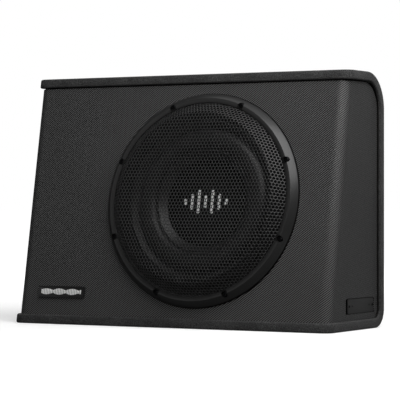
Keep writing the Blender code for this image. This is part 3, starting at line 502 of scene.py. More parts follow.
def hollowLimit():    # the space inside the carpeted shell, which the vinyl's edges follow
    s = boxSettings
    low = vinylLow.z
    high = vinylHigh.z - vinylSettings["topSeam"]
    back = boxHigh.y - s["board"] - vinylSettings["backSeam"]
    work = bmesh.new()
    face = outlineFace(work, [(0, -0.3, low), (0, back, low), (0, back, high), (0, -0.3, high)])
    v = list(face.verts)
    roundCorner(work, v[1], s["bottomBackRadius"] - low, 10)
    roundCorner(work, v[2], s["topBackRadius"] - low, 20)
    bmesh.ops.translate(work, verts=work.verts, vec=(-0.4, 0, 0))
    extrudeAll(work, (0.8, 0, 0))
    return work

def vinylBlank():    # U-shaped in plan, run up to the box's height, leaning with the front
    corner = vinylSettings["corner"]
    thick = vinylSettings["thickness"]
    face = vinylHigh.x
    start = frontY(0)
    rear = boxHigh.y - 0.005
    work = bmesh.new()
    outer = [(-face, rear), (-face, start), (face, start), (face, rear)]
    inside = face - thick
    inner = [(inside, rear), (inside, start + thick), (-inside, start + thick), (-inside, rear)]
    flat = outlineFace(work, [(x, y, 0) for x, y in outer + inner])
    v = list(flat.verts)
    for vert, radius in ((v[1], corner), (v[2], corner), (v[5], corner - thick), (v[6], corner - thick)):
        roundCorner(work, vert, radius, 14)
    extrudeAll(work, (0, 0, boxHigh.z))
    for vert in work.verts:
        if vert.co.y < rear - 0.01:
            vert.co.y += vert.co.z * math.tan(tilt)
    return work

# local X along the box's depth, Y up and Z to the right, as the cutters through the ends are drawn
def throughEnd(x, y, z):
    return Matrix(((0, 0, 1, x), (1, 0, 0, y), (0, 1, 0, z), (0, 0, 0, 1)))

def makeTrayHole():
    lap = vinylSettings["trayLap"]
    low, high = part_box("amp_panel")
    middle = (low + high) / 2
    work = roundedPlate(high.y - low.y - 2 * lap, high.z - low.z - 2 * lap, 0.006, 0.04)
    return place(work, throughEnd(-vinylHigh.x - 0.02, middle.y, middle.z))

def makeCoverSlot():    # the opening's size is the plate's with the slot added at its front end
    low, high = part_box("cover_plate")
    gap = vinylSettings["slotGap"]
    size = (high.y - low.y + vinylSettings["slot"] + gap, high.z - low.z + 2 * gap)
    middle = Vector((0, high.y + gap - size[0] / 2, (low.z + high.z) / 2))
    work = roundedPlate(*size, 0.003, 0.04)
    return place(work, throughEnd(vinylHigh.x - 0.02, middle.y, middle.z))

def weaveMap(mesh):    # UV in metres: along the wrapped plan path, and up the leaning front
    layer = mesh.uv_layers.new(name="weave")
    radius = vinylSettings["corner"]
    straight = vinylHigh.x - radius
    for loop in mesh.loops:
        p = mesh.vertices[loop.vertex_index].co
        side = 1 if p.x > 0 else -1
        past = abs(p.x) - straight
        behind = p.y - frontY(p.z) - radius
        if past <= 0:
            u = p.x
        elif behind >= 0:
            u = side * (straight + radius * math.pi / 2 + behind)
        else:
            u = side * (straight + radius * math.atan2(past, -behind))
        layer.data[loop.index].uv = (u, p.z / math.cos(tilt))

def makeVinyl():
    s = vinylSettings
    work = cutWith(vinylBlank(), hollowLimit(), "INTERSECT")
    work = cutWith(work, rod(s["driverHole"], 0.06, 96, driverPlace))
    near, far = s["groove"]
    groove = turnProfile([(near, 0.01), (far, 0.01), (far, -0.01), (near, -0.01)], 240)
    work = cutWith(work, place(groove, driverPlace))
    work = cutWith(work, makeCoverSlot())
    work = cutWith(work, makeTrayHole())
    piece = addPiece("wovenVinylSkin", work, "weave", fixedBody, ["vinyl_cover"], 25)
    weaveMap(piece.data)
    return piece

vinylSkin = makeVinyl()
print("vinyl skin:", len(vinylSkin.data.polygons), "faces")

# trim ring and its screws

ringSettings = {
    "outer": 0.1620, "foot": 0.0003, "lip": 0.0030, "peak": (0.1534, 0.0126),
    "inner": 0.1463, "innerHeight": 0.0115,
    "edge": 0.0006, "steps": 192,
    "screwCircle": 0.153, "screwCount": 8, "firstScrew": 22.5, "screwSeat": 0.0073,
    "recessRadius": 0.0045, "recessFloor": 0.0072, "shankRadius": 0.0024,
}
ringScrew = {"head": 0.0040, "height": 0.0034, "shank": 0.0020, "length": 0.019, "socket": 0.0015}

def screwPlaces():
    s = ringSettings
    return ringPlaces(s["screwCount"], s["screwCircle"], s["firstScrew"])

def makeTrimRing():
    s = ringSettings
    profile = [s["peak"], (s["outer"], s["lip"]), (s["outer"], s["foot"]), (0.1585, s["foot"]),
               (0.1585, 0.0046), (0.1478, 0.0046), (s["inner"], 0.0060), (s["inner"], s["innerHeight"])]
    work = turnProfile(profile, s["steps"])
    bevelSharp(work, s["edge"], 3, least=30, where=lambda e: max(v.co.z for v in e.verts) > 0.0025)
    pockets = []
    for x, y in screwPlaces():
        steps = [(0, 0.03), (s["recessRadius"], 0.03), (s["recessRadius"], s["recessFloor"]),
                 (s["shankRadius"], s["recessFloor"]), (s["shankRadius"], -0.004), (0, -0.004)]
        pockets.append(place(turnProfile(steps, 28, closed=False), Matrix.Translation((x, y, 0))))
    work = cutWith(work, join(*pockets))
    for face in work.faces:    # painted shade: the screw recesses and the outer rim get the near-black enamel, standing in for the shade in the recesses and in the gap round the ring
        middle = face.calc_center_median()
        near = min(math.dist(middle.xy, at) for at in screwPlaces())
        inRecess = near < s["recessRadius"] + 0.0001 and max(e.calc_length() for e in face.edges) < 0.012
        onRim = middle.xy.length > s["outer"] - 0.0003 and abs(face.normal.z) < 0.3
        if inRecess or onRim:
            face.material_index = 1
    piece = addPiece("trimRing", place(work, driverPlace), "trim", fixedBody, ["trim_ring"],
                     22)
    # second slot: near-black enamel as painted shade in the screw recesses and on the outer rim
    piece.data.materials.append(finish["basket"])
    return piece

# a pan head screw with a hex socket, its head's underside at zero
def screwBody(sizes, matrix):
    head, height, shank, length = (sizes[key] for key in ("head", "height", "shank", "length"))
    profile = [(0, height), (head * 0.7, height), (head * 0.94, height * 0.55), (head, height * 0.2),
               (head, 0), (shank, 0), (shank, -length + shank), (0, -length)]
    work = turnProfile(profile, 28, closed=False)
    bevelSharp(work, 0.0002, 2, least=35)
    work = cutWith(work, rod(sizes["socket"], height * 1.3, 6, Matrix.Translation((0, 0, height))))
    return place(work, matrix)

def makeRingScrews():
    for i, (x, y) in enumerate(screwPlaces()):
        seat = Matrix.Translation((x, y, ringSettings["screwSeat"]))
        work = screwBody(ringScrew, driverPlace @ seat @ Matrix.Rotation(0.4 * i, 4, "Z"))
        addPiece(f"ringScrew{i + 1}", work, "screw", fixedBody, [f"ring_screw_{i + 1}"])

makeTrimRing()
makeRingScrews()
print("trim ring and screws made")

# perforated grille

meshSettings = {
    "pitch": 0.0055, "row": 0.0048, "hole": 0.00242, "sides": 12, "sheet": 0.0004,
    "flatRadius": 0.1275, "bendRadius": 0.0040, "front": 0.0280, "wallTop": 0.1308,
    "wallFoot": (0.1460, 0.0108),
    "tuck": 0.0060, "rimOuter": 0.1575, "rimHeight": 0.0043,
}

# distance along the pressed sheet from its middle, with the radius and height reached there
def grillePath():
    s = meshSettings
    foot = s["wallFoot"]
    points = [(0.0, s["front"]), (s["flatRadius"], s["front"])]
    start = math.atan2(s["front"] - foot[1], foot[0] - s["wallTop"])
    bend = 6
    for i in range(1, bend + 1):
        angle = start * i / bend
        points.append((s["flatRadius"] + s["bendRadius"] * math.sin(angle),
                       s["front"] - s["bendRadius"] * (1 - math.cos(angle))))
    points += [foot, (foot[0], s["tuck"])]
    path = [(0.0, *points[0])]
    for a, b in zip(points, points[1:]):
        path.append((path[-1][0] + math.dist(a, b), *b))
    return path

def onPath(path, distance):
    for (d0, r0, h0), (d1, r1, h1) in zip(path, path[1:]):
        if distance <= d1 or d1 == path[-1][0]:
            t = (distance - d0) / (d1 - d0)
            return r0 + (r1 - r0) * t, h0 + (h1 - h0) * t
    return path[-1][1:]

def hexCell():    # one flat cell of the lattice: a hexagon with a round hole in it
    s = meshSettings
    work = bmesh.new()
    bmesh.ops.create_circle(work, segments=s["sides"], radius=s["hole"], cap_ends=False)
    stretch = s["row"] / (s["pitch"] * math.sqrt(3) / 2)
    corner = s["pitch"] / math.sqrt(3)
    rim = bmesh.ops.create_circle(work, segments=s["sides"], radius=corner, cap_ends=False)["verts"]
    turn = Matrix.Rotation(math.radians(30), 3, "Z")
    bmesh.ops.rotate(work, verts=work.verts, cent=(0, 0, 0), matrix=turn)
    for vert in rim:           # every second point moves in to the middle of a straight side
        angle = math.degrees(math.atan2(vert.co.y, vert.co.x)) % 60
        if min(angle, 60 - angle) < 5:
            vert.co = vert.co.normalized() * s["pitch"] / 2
        vert.co.y *= stretch
    bmesh.ops.bridge_loops(work, edges=list(work.edges))
    return work

def copyAlong(mesh, offsets):
    work = bmesh.new()
    for offset in offsets:
        first = len(work.verts)
        work.from_mesh(mesh)
        work.verts.ensure_lookup_table()
        bmesh.ops.translate(work, verts=work.verts[first:], vec=offset)
    return work

def makeGrille():
    s = meshSettings
    path = grillePath()
    reach = path[-1][0]
    cell = hexCell()
    cellMesh = bpy.data.meshes.new("cell")
    cell.to_mesh(cellMesh)
    cell.free()
    count = int(reach / s["pitch"]) + 1
    row = copyAlong(cellMesh, [(i * s["pitch"], 0, 0) for i in range(-count, count + 1)])
    rowMesh = bpy.data.meshes.new("row")
    row.to_mesh(rowMesh)
    row.free()
    rows = int(reach / s["row"]) + 1
    work = copyAlong(rowMesh, [(s["pitch"] / 2 * (j % 2), j * s["row"], 0) for j in range(-rows, rows + 1)])
    bpy.data.meshes.remove(cellMesh)
    bpy.data.meshes.remove(rowMesh)
    bmesh.ops.remove_doubles(work, verts=work.verts, dist=0.00004)
    rest = [f for f in work.faces if f.calc_center_median().length > reach - s["pitch"] * 0.4]
    bmesh.ops.delete(work, geom=rest, context="FACES")
    for vert in work.verts:
        distance = math.hypot(vert.co.x, vert.co.y)
        radius, height = onPath(path, distance)
        if distance > 1e-6:
            vert.co.x *= radius / distance
            vert.co.y *= radius / distance
        vert.co.z = height
    bmesh.ops.recalc_face_normals(work, faces=work.faces)
    if sum(f.normal.z for f in work.faces) < 0:
        bmesh.ops.reverse_faces(work, faces=work.faces)
    piece = addPiece("perforatedGrille", place(work, driverPlace), "mesh", fixedBody, ["grille_mesh"],
                     40)
    sheet = piece.modifiers.new("sheet", "SOLIDIFY")
    sheet.thickness = s["sheet"]
    sheet.offset = -1
    return piece

def makeGrilleRim():    # the plain flange under the trim ring that the perforated sheet is pressed from
    s = meshSettings
    profile = [(0.1458, 0.0056), (0.1458, s["rimHeight"]), (s["rimOuter"], s["rimHeight"]),
               (s["rimOuter"], 0.0031), (0.1446, 0.0031), (0.1446, 0.0056)]
    work = turnProfile(profile, 128)
    addPiece("grilleFlange", place(work, driverPlace), "mesh", fixedBody, ())

grille = makeGrille()
makeGrilleRim()
print("grille:", len(grille.data.polygons), "faces before its thickness")

# driver seen through the grille

driverSettings = {
    "surroundInner": 0.0782, "surroundOuter": 0.1085, "surroundBase": -0.0038, "rollHeight": 0.0118,
    "coneEdge": 0.07812, "capRadius": 0.0668, "capEdge": -0.0144, "capRise": 0.0032, "capThick": 0.0009,
    "capSkirt": 0.0011, "leadRadius": 0.0008, "steps": 160,
}

# bakes the piece's place into its mesh and works out each point's share between the inner and outer radius,
# which is not used
def blendRadially(piece, inner, outer):
    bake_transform(piece)
    back = driverPlace.inverted()
    for vert in piece.data.vertices:
        local = back @ vert.co
        t = (outer - math.hypot(local.x, local.y)) / (outer - inner)
        t = min(1, max(0, t))

# a piece that flexes between two bodies, so it hangs on neither
def loosePiece(name, work, material, replaced):
    piece = addPiece(name, work, material, fixedBody, replaced, 60)
    piece.parent = None
    return piece

def makeSurround():
    s = driverSettings
    middle = (s["surroundInner"] + s["surroundOuter"]) / 2
    width = (s["surroundOuter"] - s["surroundInner"]) / 2
    roll = []
    under = []
    steps = 18
    base = s["surroundBase"]
    for i in range(steps + 1):
        angle = math.pi * i / steps
        across, up = width * math.cos(angle), math.sin(angle)
        roll.append((middle - across, base + s["rollHeight"] * up))
        under.append((middle - across * 0.93, base - 0.0012 + 0.0112 * up))
    lip = [(0.1092, -0.0036), (0.1185, 0.0040), (0.1196, 0.0045), (0.1208, 0.0045), (0.1212, 0.0041),
           (0.1212, -0.0057), (0.1090, -0.0057)]
    work = turnProfile(roll + lip + under[::-1], s["steps"])
    piece = loosePiece("rollSurround", place(work, driverPlace), "surround", ["surround"])
    blendRadially(piece, s["surroundInner"] + 0.0005, s["surroundOuter"] + 0.0005)

spiderSettings = {
    "inner": 0.0331, "outer": 0.0885, "level": -0.0445, "thick": 0.0008,
    "waves": 5, "waveHeight": 0.0013, "steps": 48,
}

def makeSpider():
    s = spiderSettings
    inner, outer = s["inner"], s["outer"]
    top = []
    under = []
    for i in range(s["steps"] + 1):
        share = i / s["steps"]
        r = inner + (outer - inner) * share
        fade = max(0.0, min(1.0, share * 8 - 0.6)) * max(0.0, min(1.0, (1 - share) * 8 - 0.6))
        height = s["level"] + s["waveHeight"] * fade * math.sin(2 * math.pi * s["waves"] * share)
        top.append((r, height))
        under.append((r, height - s["thick"]))
    work = turnProfile(top + under[::-1], 96)
    piece = loosePiece("corrugatedSpider", place(work, driverPlace), "cloth", ["spider"])
    blendRadially(piece, inner + 0.002, outer - 0.006)

def capHeight(radius):
    s = driverSettings
    return s["capEdge"] + s["capRise"] * (1 - (radius / s["capRadius"]) ** 2)

def makeCone():
    s = driverSettings
    cone = [(s["coneEdge"], -0.0030), (s["coneEdge"], -0.0046), (0.0688, -0.0168), (0.0338, -0.0418),
            (0.0330, -0.0418), (0.0330, -0.0398), (0.0672, -0.0154), (0.0764, -0.0030)]
    work = turnProfile(cone, s["steps"])
    bevelSharp(work, 0.0005, 2, least=25)
    addPiece("paperCone", place(work, driverPlace), "cone", coneBody, ["cone"])
    rings = 14
    top = [(s["capRadius"] * i / rings, capHeight(s["capRadius"] * i / rings)) for i in range(rings + 1)]
    low = [(r, h - s["capThick"]) for r, h in top]
    low[-1] = (s["capRadius"], s["capEdge"] - s["capSkirt"])
    work = turnProfile(top + low[::-1], s["steps"], closed=False)
    addPiece("dustCap", place(work, driverPlace), "cap", coneBody, ["dust_cap"], 50)

def makeCapMark():    # a plain sound level sign: rounded upright bars printed on the dust cap
    mark = {
        "bars": (0.010, 0.024, 0.036, 0.020, 0.036, 0.024, 0.010),
        "step": 0.0116, "width": 0.0046, "lift": 0.0003,
    }
    bars = []
    for i, length in enumerate(mark["bars"]):
        x = (i - (len(mark["bars"]) - 1) / 2) * mark["step"]
        bar = roundedPlate(mark["width"], length, mark["width"] * 0.49, mark["lift"], 5)
        for k in range(1, 6):
            sliceAcross(bar, (0, length * (k / 6 - 0.5), 0), (0, 1, 0))
        bmesh.ops.translate(bar, verts=bar.verts, vec=(x, 0, 0))
        bars.append(bar)
    work = join(*bars)
    for vert in work.verts:
        vert.co.z += capHeight(math.hypot(vert.co.x, vert.co.y)) + 0.00005
    addPiece("capMark", place(work, driverPlace), "light", coneBody, ())

def makeGasket():
    profile = [(0.1330, 0.0050), (0.1330, 0.0031), (0.1225, 0.0031), (0.1225, 0.0050)]
    work = turnProfile(profile, 128)
    bevelSharp(work, 0.0005, 2)
    addPiece("flangeGasket", place(work, driverPlace), "rubber", fixedBody, ["gasket_ring"])

def tubeAlong(route, radius, sides=10):    # a closed tube through points, as a curve made into a mesh
    curve = bpy.data.curves.new("tube", "CURVE")
    curve.dimensions = "3D"
    curve.bevel_depth = radius
    curve.bevel_resolution = (sides - 4) // 2
    curve.use_fill_caps = True
    curve.resolution_u = 8
    spline = curve.splines.new("BEZIER")
    spline.bezier_points.add(len(route) - 1)
    for point, at in zip(spline.bezier_points, route):
        point.co = at
        point.handle_left_type = point.handle_right_type = "AUTO"
    holder = bpy.data.objects.new("tube", curve)
    bpy.context.scene.collection.objects.link(holder)
    mesh = bpy.data.meshes.new_from_object(holder.evaluated_get(bpy.context.evaluated_depsgraph_get()))
    bpy.data.objects.remove(holder)
    bpy.data.curves.remove(curve)
    work = bmesh.new()
    work.from_mesh(mesh)
    bpy.data.meshes.remove(mesh)
    bmesh.ops.remove_doubles(work, verts=work.verts, dist=0.000005)
    bmesh.ops.recalc_face_normals(work, faces=work.faces)
    return work

def makeTinselLeads():
    for number, side in ((1, 1), (2, -1)):
        route = [(-0.1160, side * 0.0158, -0.0260), (-0.1090, side * 0.0290, -0.0250),
                 (-0.0900, side * 0.0300, -0.0285), (-0.0740, side * 0.0200, -0.0300),
                 (-0.0600, side * 0.0120, -0.0265)]
        work = place(tubeAlong(route, driverSettings["leadRadius"]), driverPlace)
        piece = loosePiece(f"tinselBraid{number}", work, "copper", [f"tinsel_lead_{number}"])
        blendRadially(piece, 0.0650, 0.1100)

makeSurround()
makeSpider()
makeCone()
makeCapMark()
makeGasket()
makeTinselLeads()
print("driver made")

# badge plate on the front

def makeBadge():    # a raised plate with a plain row of level bars in place of a name
    low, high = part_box("badge_plate")
    middle = (low + high) / 2
    badge = {
        "height": 0.0175, "thick": 0.0027, "corner": 0.0020, "rim": 0.0013, "sunk": 0.0006,
        "bars": 25, "span": 0.070, "barHeight": 0.0094, "barWidth": 0.0018,
    }
    up = (middle - driverPlace.translation).dot(upFront)
    at = driverPlace @ Matrix.Translation((middle.x - driverPlace.translation.x, up, 0.0003))
    work = roundedPlate(high.x - low.x, badge["height"], badge["corner"], badge["thick"])
    front = [f for f in work.faces if f.normal.z > 0.9]
    bmesh.ops.inset_region(work, faces=front, thickness=badge["rim"], depth=0.0)
    bmesh.ops.translate(work, verts=list({v for f in front for v in f.verts}), vec=(0, 0, -badge["sunk"]))
    bevelSharp(work, 0.0003, 2, least=35)
    addPiece("badgePlate", place(work, at), "trim", fixedBody, ["badge_plate"], 25)
    bars = []
    for i in range(badge["bars"]):
        share = i / (badge["bars"] - 1)
        height = badge["barHeight"] * (0.45 + 0.55 * abs(math.sin(math.pi * (share * 3 + 0.15))))
        bar = roundedPlate(badge["barWidth"], height, 0.0004, 0.0007, 2)
        x = (share - 0.5) * badge["span"]
        bmesh.ops.translate(bar, verts=bar.verts, vec=(x, 0, badge["thick"] - 0.00055))
        bars.append(bar)
    addPiece("badgeBars", place(join(*bars), at), "light", fixedBody, ())

makeBadge()
print("badge made")

# cover plate in the right end

def makeCoverPlate():    # a thin-lipped plate, with a dark cable slot left open at its front end
    cover = {
        "corner": 0.0028, "lip": 0.0012, "undercut": 0.014,
        "screws": 0.0395, "screwHole": 0.0019, "holes": 0.029, "holeRadius": 0.0014,
    }
    coverScrew = {"head": 0.0022, "height": 0.0008, "shank": 0.0013, "length": 0.011, "socket": 0.0010}
    low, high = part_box("cover_plate")
    middle = (low + high) / 2
    thick = high.x - low.x
    length, tall = high.y - low.y, high.z - low.z
    turn = throughEnd(low.x, middle.y, middle.z)
    work = roundedPlate(length, tall, cover["corner"], thick)
    bevelSharp(work, 0.0004, 2, least=50)
    space = (cover["undercut"], tall + 0.01, thick)
    spaceAt = (-length / 2 + cover["undercut"] / 2 - 0.0001, 0, thick / 2 - cover["lip"])
    work = cutWith(work, box3(space, spaceAt))
    for side in (-1, 1):
        for offset, radius in ((cover["screws"], cover["screwHole"]), (cover["holes"], cover["holeRadius"])):
            work = cutWith(work, rod(radius, 0.02, 24, Matrix.Translation((side * offset, 0, 0))))
    addPiece("coverPlate", place(work, turn), "mould", fixedBody, ["cover_plate"])
    for i, side in enumerate((-1, 1)):
        seat = Matrix.Translation((high.x + 0.0003, middle.y + side * cover["screws"], middle.z))
        work = screwBody(coverScrew, seat @ Matrix.Rotation(math.pi / 2, 4, "Y"))
        addPiece(f"coverScrew{i + 1}", work, "screw", fixedBody, [f"cover_screw_{i + 1}"])

makeCoverPlate()
print("cover plate made")

# control tray in the left end

# local X along the box's depth, Y up and Z out of the left end
trayFace = Matrix(((0, 0, -1, 0), (1, 0, 0, 0), (0, 1, 0, 0), (0, 0, 0, 1)))
knobJoints = {j["child"]: Vector(j["pos_m"]) for j in frame["joints"] if j["type"] == "hinge"}
floorX = knobJoints["gain_control"].x

def atTray(y, z, x=floorX):
    return Matrix.Translation((x, y, z)) @ trayFace

def onTray(node):              # a tray part's place at its back face, with its length, height and depth
    low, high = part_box(node)
    size = high - low
    middle = (low + high) / 2
    return atTray(middle.y, middle.z, high.x), size.y, size.z, size.x

def makeKnobs():    # fluted caps on round shafts, each with a white pointer line
    knob = {
        "height": 0.0080, "flutes": 18, "shaft": 0.0030, "sweep": 280, "ticks": 11, "scaleRadius": 0.0084,
    }
    for body in ("gain_control", "crossover_control", "bass_control"):
        node = body.replace("control", "knob")
        centre = knobJoints[body]
        at = atTray(centre.y, centre.z)
        profile = [(0, knob["height"]), (0.0052, knob["height"]), (0.0060, knob["height"] - 0.0009),
                   (0.0066, 0.0014), (0.0066, 0.0005), (knob["shaft"], 0.0005), (knob["shaft"], -0.0090),
                   (0, -0.0090)]
        work = turnProfile(profile, 72, closed=False)
        for vert in work.verts:
            radius = math.hypot(vert.co.x, vert.co.y)
            if radius > 0.0058 and 0.001 < vert.co.z < knob["height"] - 0.0004:
                angle = math.atan2(vert.co.y, vert.co.x)
                grow = 1 + 0.025 * math.cos(knob["flutes"] * angle)
                vert.co.x *= grow
                vert.co.y *= grow
        addPiece(node.replace("_knob", "Knob"), place(work, at), "knob", body, [node])
        line = roundedPlate(0.0011, 0.0042, 0.0004, 0.0002, 2)
        bmesh.ops.translate(line, verts=line.verts, vec=(0, 0.0029, knob["height"] + 0.00003))
        addPiece(node.replace("_knob", "Pointer"), place(line, at), "light", body, ())
        ticks = []
        for i in range(knob["ticks"]):
            angle = math.radians(90 + knob["sweep"] * (0.5 - i / (knob["ticks"] - 1)))
            tick = roundedPlate(0.0006, 0.0018 if i % 5 else 0.0028, 0.0, 0.0001)
            reach = knob["scaleRadius"]
            spot = Matrix.Translation((reach * math.cos(angle), reach * math.sin(angle), 0.00004))
            ticks.append(place(tick, spot @ Matrix.Rotation(angle - math.pi / 2, 4, "Z")))
        addPiece(node.replace("_knob", "Scale"), place(join(*ticks), at), "light", fixedBody, ())

def makeJacks():
    for node, ring in (("rca_jack_left", "switch"), ("rca_jack_right", "red")):
        low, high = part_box(node)
        centre = (low + high) / 2
        at = atTray(centre.y, centre.z)
        barrel = [(0.0041, 0.0078), (0.0041, 0.0004), (0.0031, 0.0004), (0.0031, -0.0080), (0.0024, -0.0080),
                  (0.0030, 0.0078)]
        work = turnProfile(barrel, 48)
        bevelSharp(work, 0.0003, 2, least=40)
        addPiece(node.replace("rca_jack_", "signalJack_"), place(work, at), "brass", fixedBody, [node])
        core = [(0.0029, 0.0062), (0.0023, -0.0078), (0.0010, -0.0078), (0.0014, 0.0062)]
        work = turnProfile(core, 40)
        addPiece(node.replace("rca_jack_", "jackInsulator_"), place(work, at), ring, fixedBody)

def pocket(size, radius, depth, at):        # a cutter with round corners, its floor at the given place
    return place(roundedPlate(*size, radius, depth, 3), Matrix.Translation(at))

def makeSocket():
    socket = {
        "mouth": (0.0190, 0.0070), "mouthDepth": 0.0090, "pins": 4, "pinStep": 0.0042, "pinRadius": 0.0005,
    }
    at, length, tall, depth = onTray("high_level_socket")
    work = roundedPlate(length, tall, 0.0008, depth, 3)
    bevelSharp(work, 0.0003, 2, least=50)
    work = cutWith(work, pocket(socket["mouth"], 0.0005, 0.012, (0, 0, depth - socket["mouthDepth"])))
    addPiece("highLevelSocket", place(work, at), "mould", fixedBody, ["high_level_socket"])
    pins = []
    for i in range(socket["pins"]):
        y = (i - (socket["pins"] - 1) / 2) * socket["pinStep"]
        pins.append(rod(socket["pinRadius"], 0.0060, 12, Matrix.Translation((y, 0, depth - 0.0062))))
    addPiece("socketPins", place(join(*pins), at), "brass", fixedBody, ())

def makeFuse():
    at, length, tall, depth = onTray("fuse")
    work = roundedPlate(length, tall, 0.0006, depth, 3)
    work = cutWith(work, pocket((0.0085, 0.0060), 0.0004, 0.004, (0, 0, depth - 0.0016)))
    bevelSharp(work, 0.0003, 2, least=50)
    addPiece("bladeFuse", place(work, at), "fuse", fixedBody, ["fuse"])

def makePowerTerminal():
    terminal = {"bayStep": 0.0140, "bay": (0.0115, 0.0180), "bayDepth": 0.0061, "screwRadius": 0.0036}
    at, length, tall, depth = onTray("power_terminal")
    work = roundedPlate(length, tall, 0.0006, depth, 3)
    bays = [k * terminal["bayStep"] for k in (-1, 0, 1)]
    for y in bays:
        bayAt = (y, -0.0050, depth - terminal["bayDepth"])
        work = cutWith(work, pocket(terminal["bay"], 0.0, 0.0075, bayAt))
    bevelSharp(work, 0.0003, 2, least=50)
    addPiece("powerTerminal", place(work, at), "mould", fixedBody, ["power_terminal"])
    screws = []
    for y in bays:
        head = rod(terminal["screwRadius"], 0.0020, 28, Matrix.Translation((y, -0.0010, depth - 0.0050)))
        head = cutWith(head, box3((0.0060, 0.0009, 0.0012), (y, -0.0010, depth - 0.0040)))
        screws.append(head)
    addPiece("terminalScrews", place(join(*screws), at), "brass", fixedBody, ())

def makeSwitch():
    groove = {"width": 0.0005, "depth": 0.0006, "step": 0.0012}
    at, length, tall, depth = onTray("phase_switch")
    work = roundedPlate(length, tall, 0.0004, depth, 3)
    for k in (-1, 0, 1):
        work = cutWith(work, box3((0.01, groove["width"], groove["depth"]), (0, k * groove["step"], depth)))
    addPiece("phaseSlider", place(work, at), "switch", "phase_control", ["phase_switch"])

def makeTrayScrews():
    trayScrew = {"head": 0.0031, "height": 0.0018, "shank": 0.0014, "length": 0.012, "socket": 0.0013}
    for i in range(1, 5):
        low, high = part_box(f"amp_screw_{i}")
        middle = (low + high) / 2
        seat = Matrix.Translation((low.x + trayScrew["height"], middle.y, middle.z))
        work = screwBody(trayScrew, seat @ Matrix.Rotation(-math.pi / 2, 4, "Y"))
        addPiece(f"trayScrew{i}", work, "screw", fixedBody, [f"amp_screw_{i}"])

makeKnobs()
makeJacks()
makeSocket()
makeFuse()
makePowerTerminal()
makeSwitch()
makeTrayScrews()
print("control tray made")

# finishes on the model's own nodes

nodeFinish = {
    # the near-black board is also painted shade where the front baffle shows in the groove round the trim
    # ring and the side panel in the cable slot
    "fibreboard": ["side_panel_left", "side_panel_right", "front_baffle", "corner_post_left",
                   "corner_post_right"],
    "rawBoard": ["divider_panel"],
    "basket": ["basket"],
    "mould": ["driver_terminal"],
    "aluminium": ["voice_coil_former", "heat_sink"],
    "anodised": ["amp_panel"],
    "copper": ["voice_coil_winding", "power_transformer"],
    "plated": ["top_plate", "pole_yoke", "amp_housing"],
    "ferrite": ["magnet"],
    "rubber": ["magnet_boot", "speaker_lead"],
    "circuit": ["amp_circuit_board"],
    "knob": ["filter_capacitor_1", "filter_capacitor_2"],
    "lens": ["status_led"],
}
for finishName, names in nodeFinish.items():
    for name in names:
        mesh = cadNodes[name].data
        mesh.materials.clear()
        mesh.materials.append(finish[finishName])
print("node finishes set")

# camera, floor and lights

view = {
    "azimuth": 29.64, "distance": 3.1638, "aim": (0.00855, -0.006, 0.19167), "lens": 187.28,
    "shift": (0.0052, -0.0026),
}

def makeCamera():
    camera = bpy.data.cameras.new("camera")
    camera.lens = view["lens"]
    camera.sensor_width = 36.0
    camera.shift_x, camera.shift_y = view["shift"]
    camera.clip_end = 50.0
    holder = bpy.data.objects.new("camera", camera)
    angle = math.radians(view["azimuth"])
    aim = Vector(view["aim"])
    holder.location = aim + Vector((math.sin(angle), -math.cos(angle), 0)) * view["distance"]
    holder.rotation_euler = (math.pi / 2, 0, angle)
    bpy.context.scene.collection.objects.link(holder)
    bpy.context.scene.camera = holder

floorSettings = {
    "radius": 30.0, "drop": 0.0005, "shade": 0.15, "seenShade": 0.62, "fade": (0.4, 2.2, 0.45, 1.0),
}

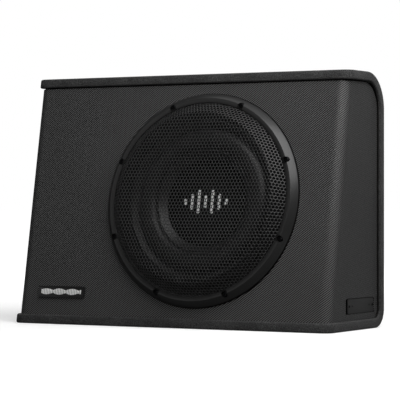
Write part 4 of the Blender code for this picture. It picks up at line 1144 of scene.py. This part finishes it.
def makeFloor():    # a pale floor that fades into the white backdrop away from the object
    s = floorSettings
    work = bmesh.new()
    bmesh.ops.create_circle(work, segments=96, radius=s["radius"], cap_ends=True)
    bmesh.ops.translate(work, verts=work.verts, vec=(0, 0, -s["drop"]))
    mesh = bpy.data.meshes.new("floor")
    work.to_mesh(mesh)
    work.free()
    floor = bpy.data.objects.new("floor", mesh)
    material, tree, shader = newMaterial("paleFloor", Roughness=0.9, Specular_IOR_Level=0.0,
                                         Emission_Color=grey(1.0))
    point = objectPoint(tree)
    reach = addNode(tree, "VectorMath", {"operation": "LENGTH"}, i0=point).outputs["Value"]
    seen = addNode(tree, "LightPath").outputs["Is Camera Ray"]
    fade = rangeOf(tree, reach, *s["fade"])
    shade = addNode(tree, "MixRGB", Fac=seen, Color1=grey(s["shade"]), Color2=grey(s["seenShade"]))
    tree.links.new(shade.outputs["Color"], shader.inputs["Base Color"])
    tree.links.new(mathOf(tree, "MULTIPLY", fade, seen), shader.inputs["Emission Strength"])
    mesh.materials.append(material)
    bpy.context.scene.collection.objects.link(floor)

softboxes = {                  # place, aim, size and the brightness of the face
    "keySoftbox": ((0.79, -0.42, 1.08), (0.10, -0.05, 0.2), (1.1, 1.0), 5.15),
    "overheadSoftbox": ((0.05, 0.30, 1.75), (0.0, 0.0, 0.2), (1.5, 0.9), 0.95),
    "frontSoftbox": ((0.55, -2.10, 1.70), (0.0, 0.0, 0.2), (2.4, 1.0), 0.30),
    "frontLeftPanel": ((-1.10, -2.68, 0.85), (0.0, 0.0, 0.2), (1.7, 1.2), 0.56),
    "upperSpot": ((0.29, -0.46, 1.30), (0.04, -0.05, 0.2), (0.6, 0.5), 3.0),
    "leftEndFill": ((-1.15, 1.45, 1.05), (-0.2, 0.0, 0.2), (1.0, 1.0), 2.4),
    "rearFill": ((0.3, 2.3, 1.3), (0.0, 0.0, 0.2), (1.8, 1.2), 1.8),
}
worldStrength = 0.08

# a rectangular softbox, its power set from the brightness of its face
def addLight(name, location, aim, size, radiance):
    light = bpy.data.lights.new(name, "AREA")
    light.shape = "RECTANGLE"
    light.size, light.size_y = size
    light.energy = radiance * math.pi * size[0] * size[1]
    holder = bpy.data.objects.new(name, light)
    holder.location = location
    holder.rotation_euler = (Vector(aim) - Vector(location)).to_track_quat("-Z", "Y").to_euler()
    bpy.context.scene.collection.objects.link(holder)

def makeLights():
    for name, values in softboxes.items():
        addLight(name, *values)
    world = bpy.data.worlds.new("studio")
    world.use_nodes = True
    tree = world.node_tree
    seen = addNode(tree, "LightPath").outputs["Is Camera Ray"]
    background = tree.nodes["Background"]
    background.inputs["Color"].default_value = (1, 1, 1, 1)
    tree.links.new(rangeOf(tree, seen, 0.0, 1.0, worldStrength, 1.0), background.inputs["Strength"])
    bpy.context.scene.world = world
    bpy.context.scene.view_settings.view_transform = "Standard"

makeCamera()
makeFloor()
makeLights()
print("stage set")
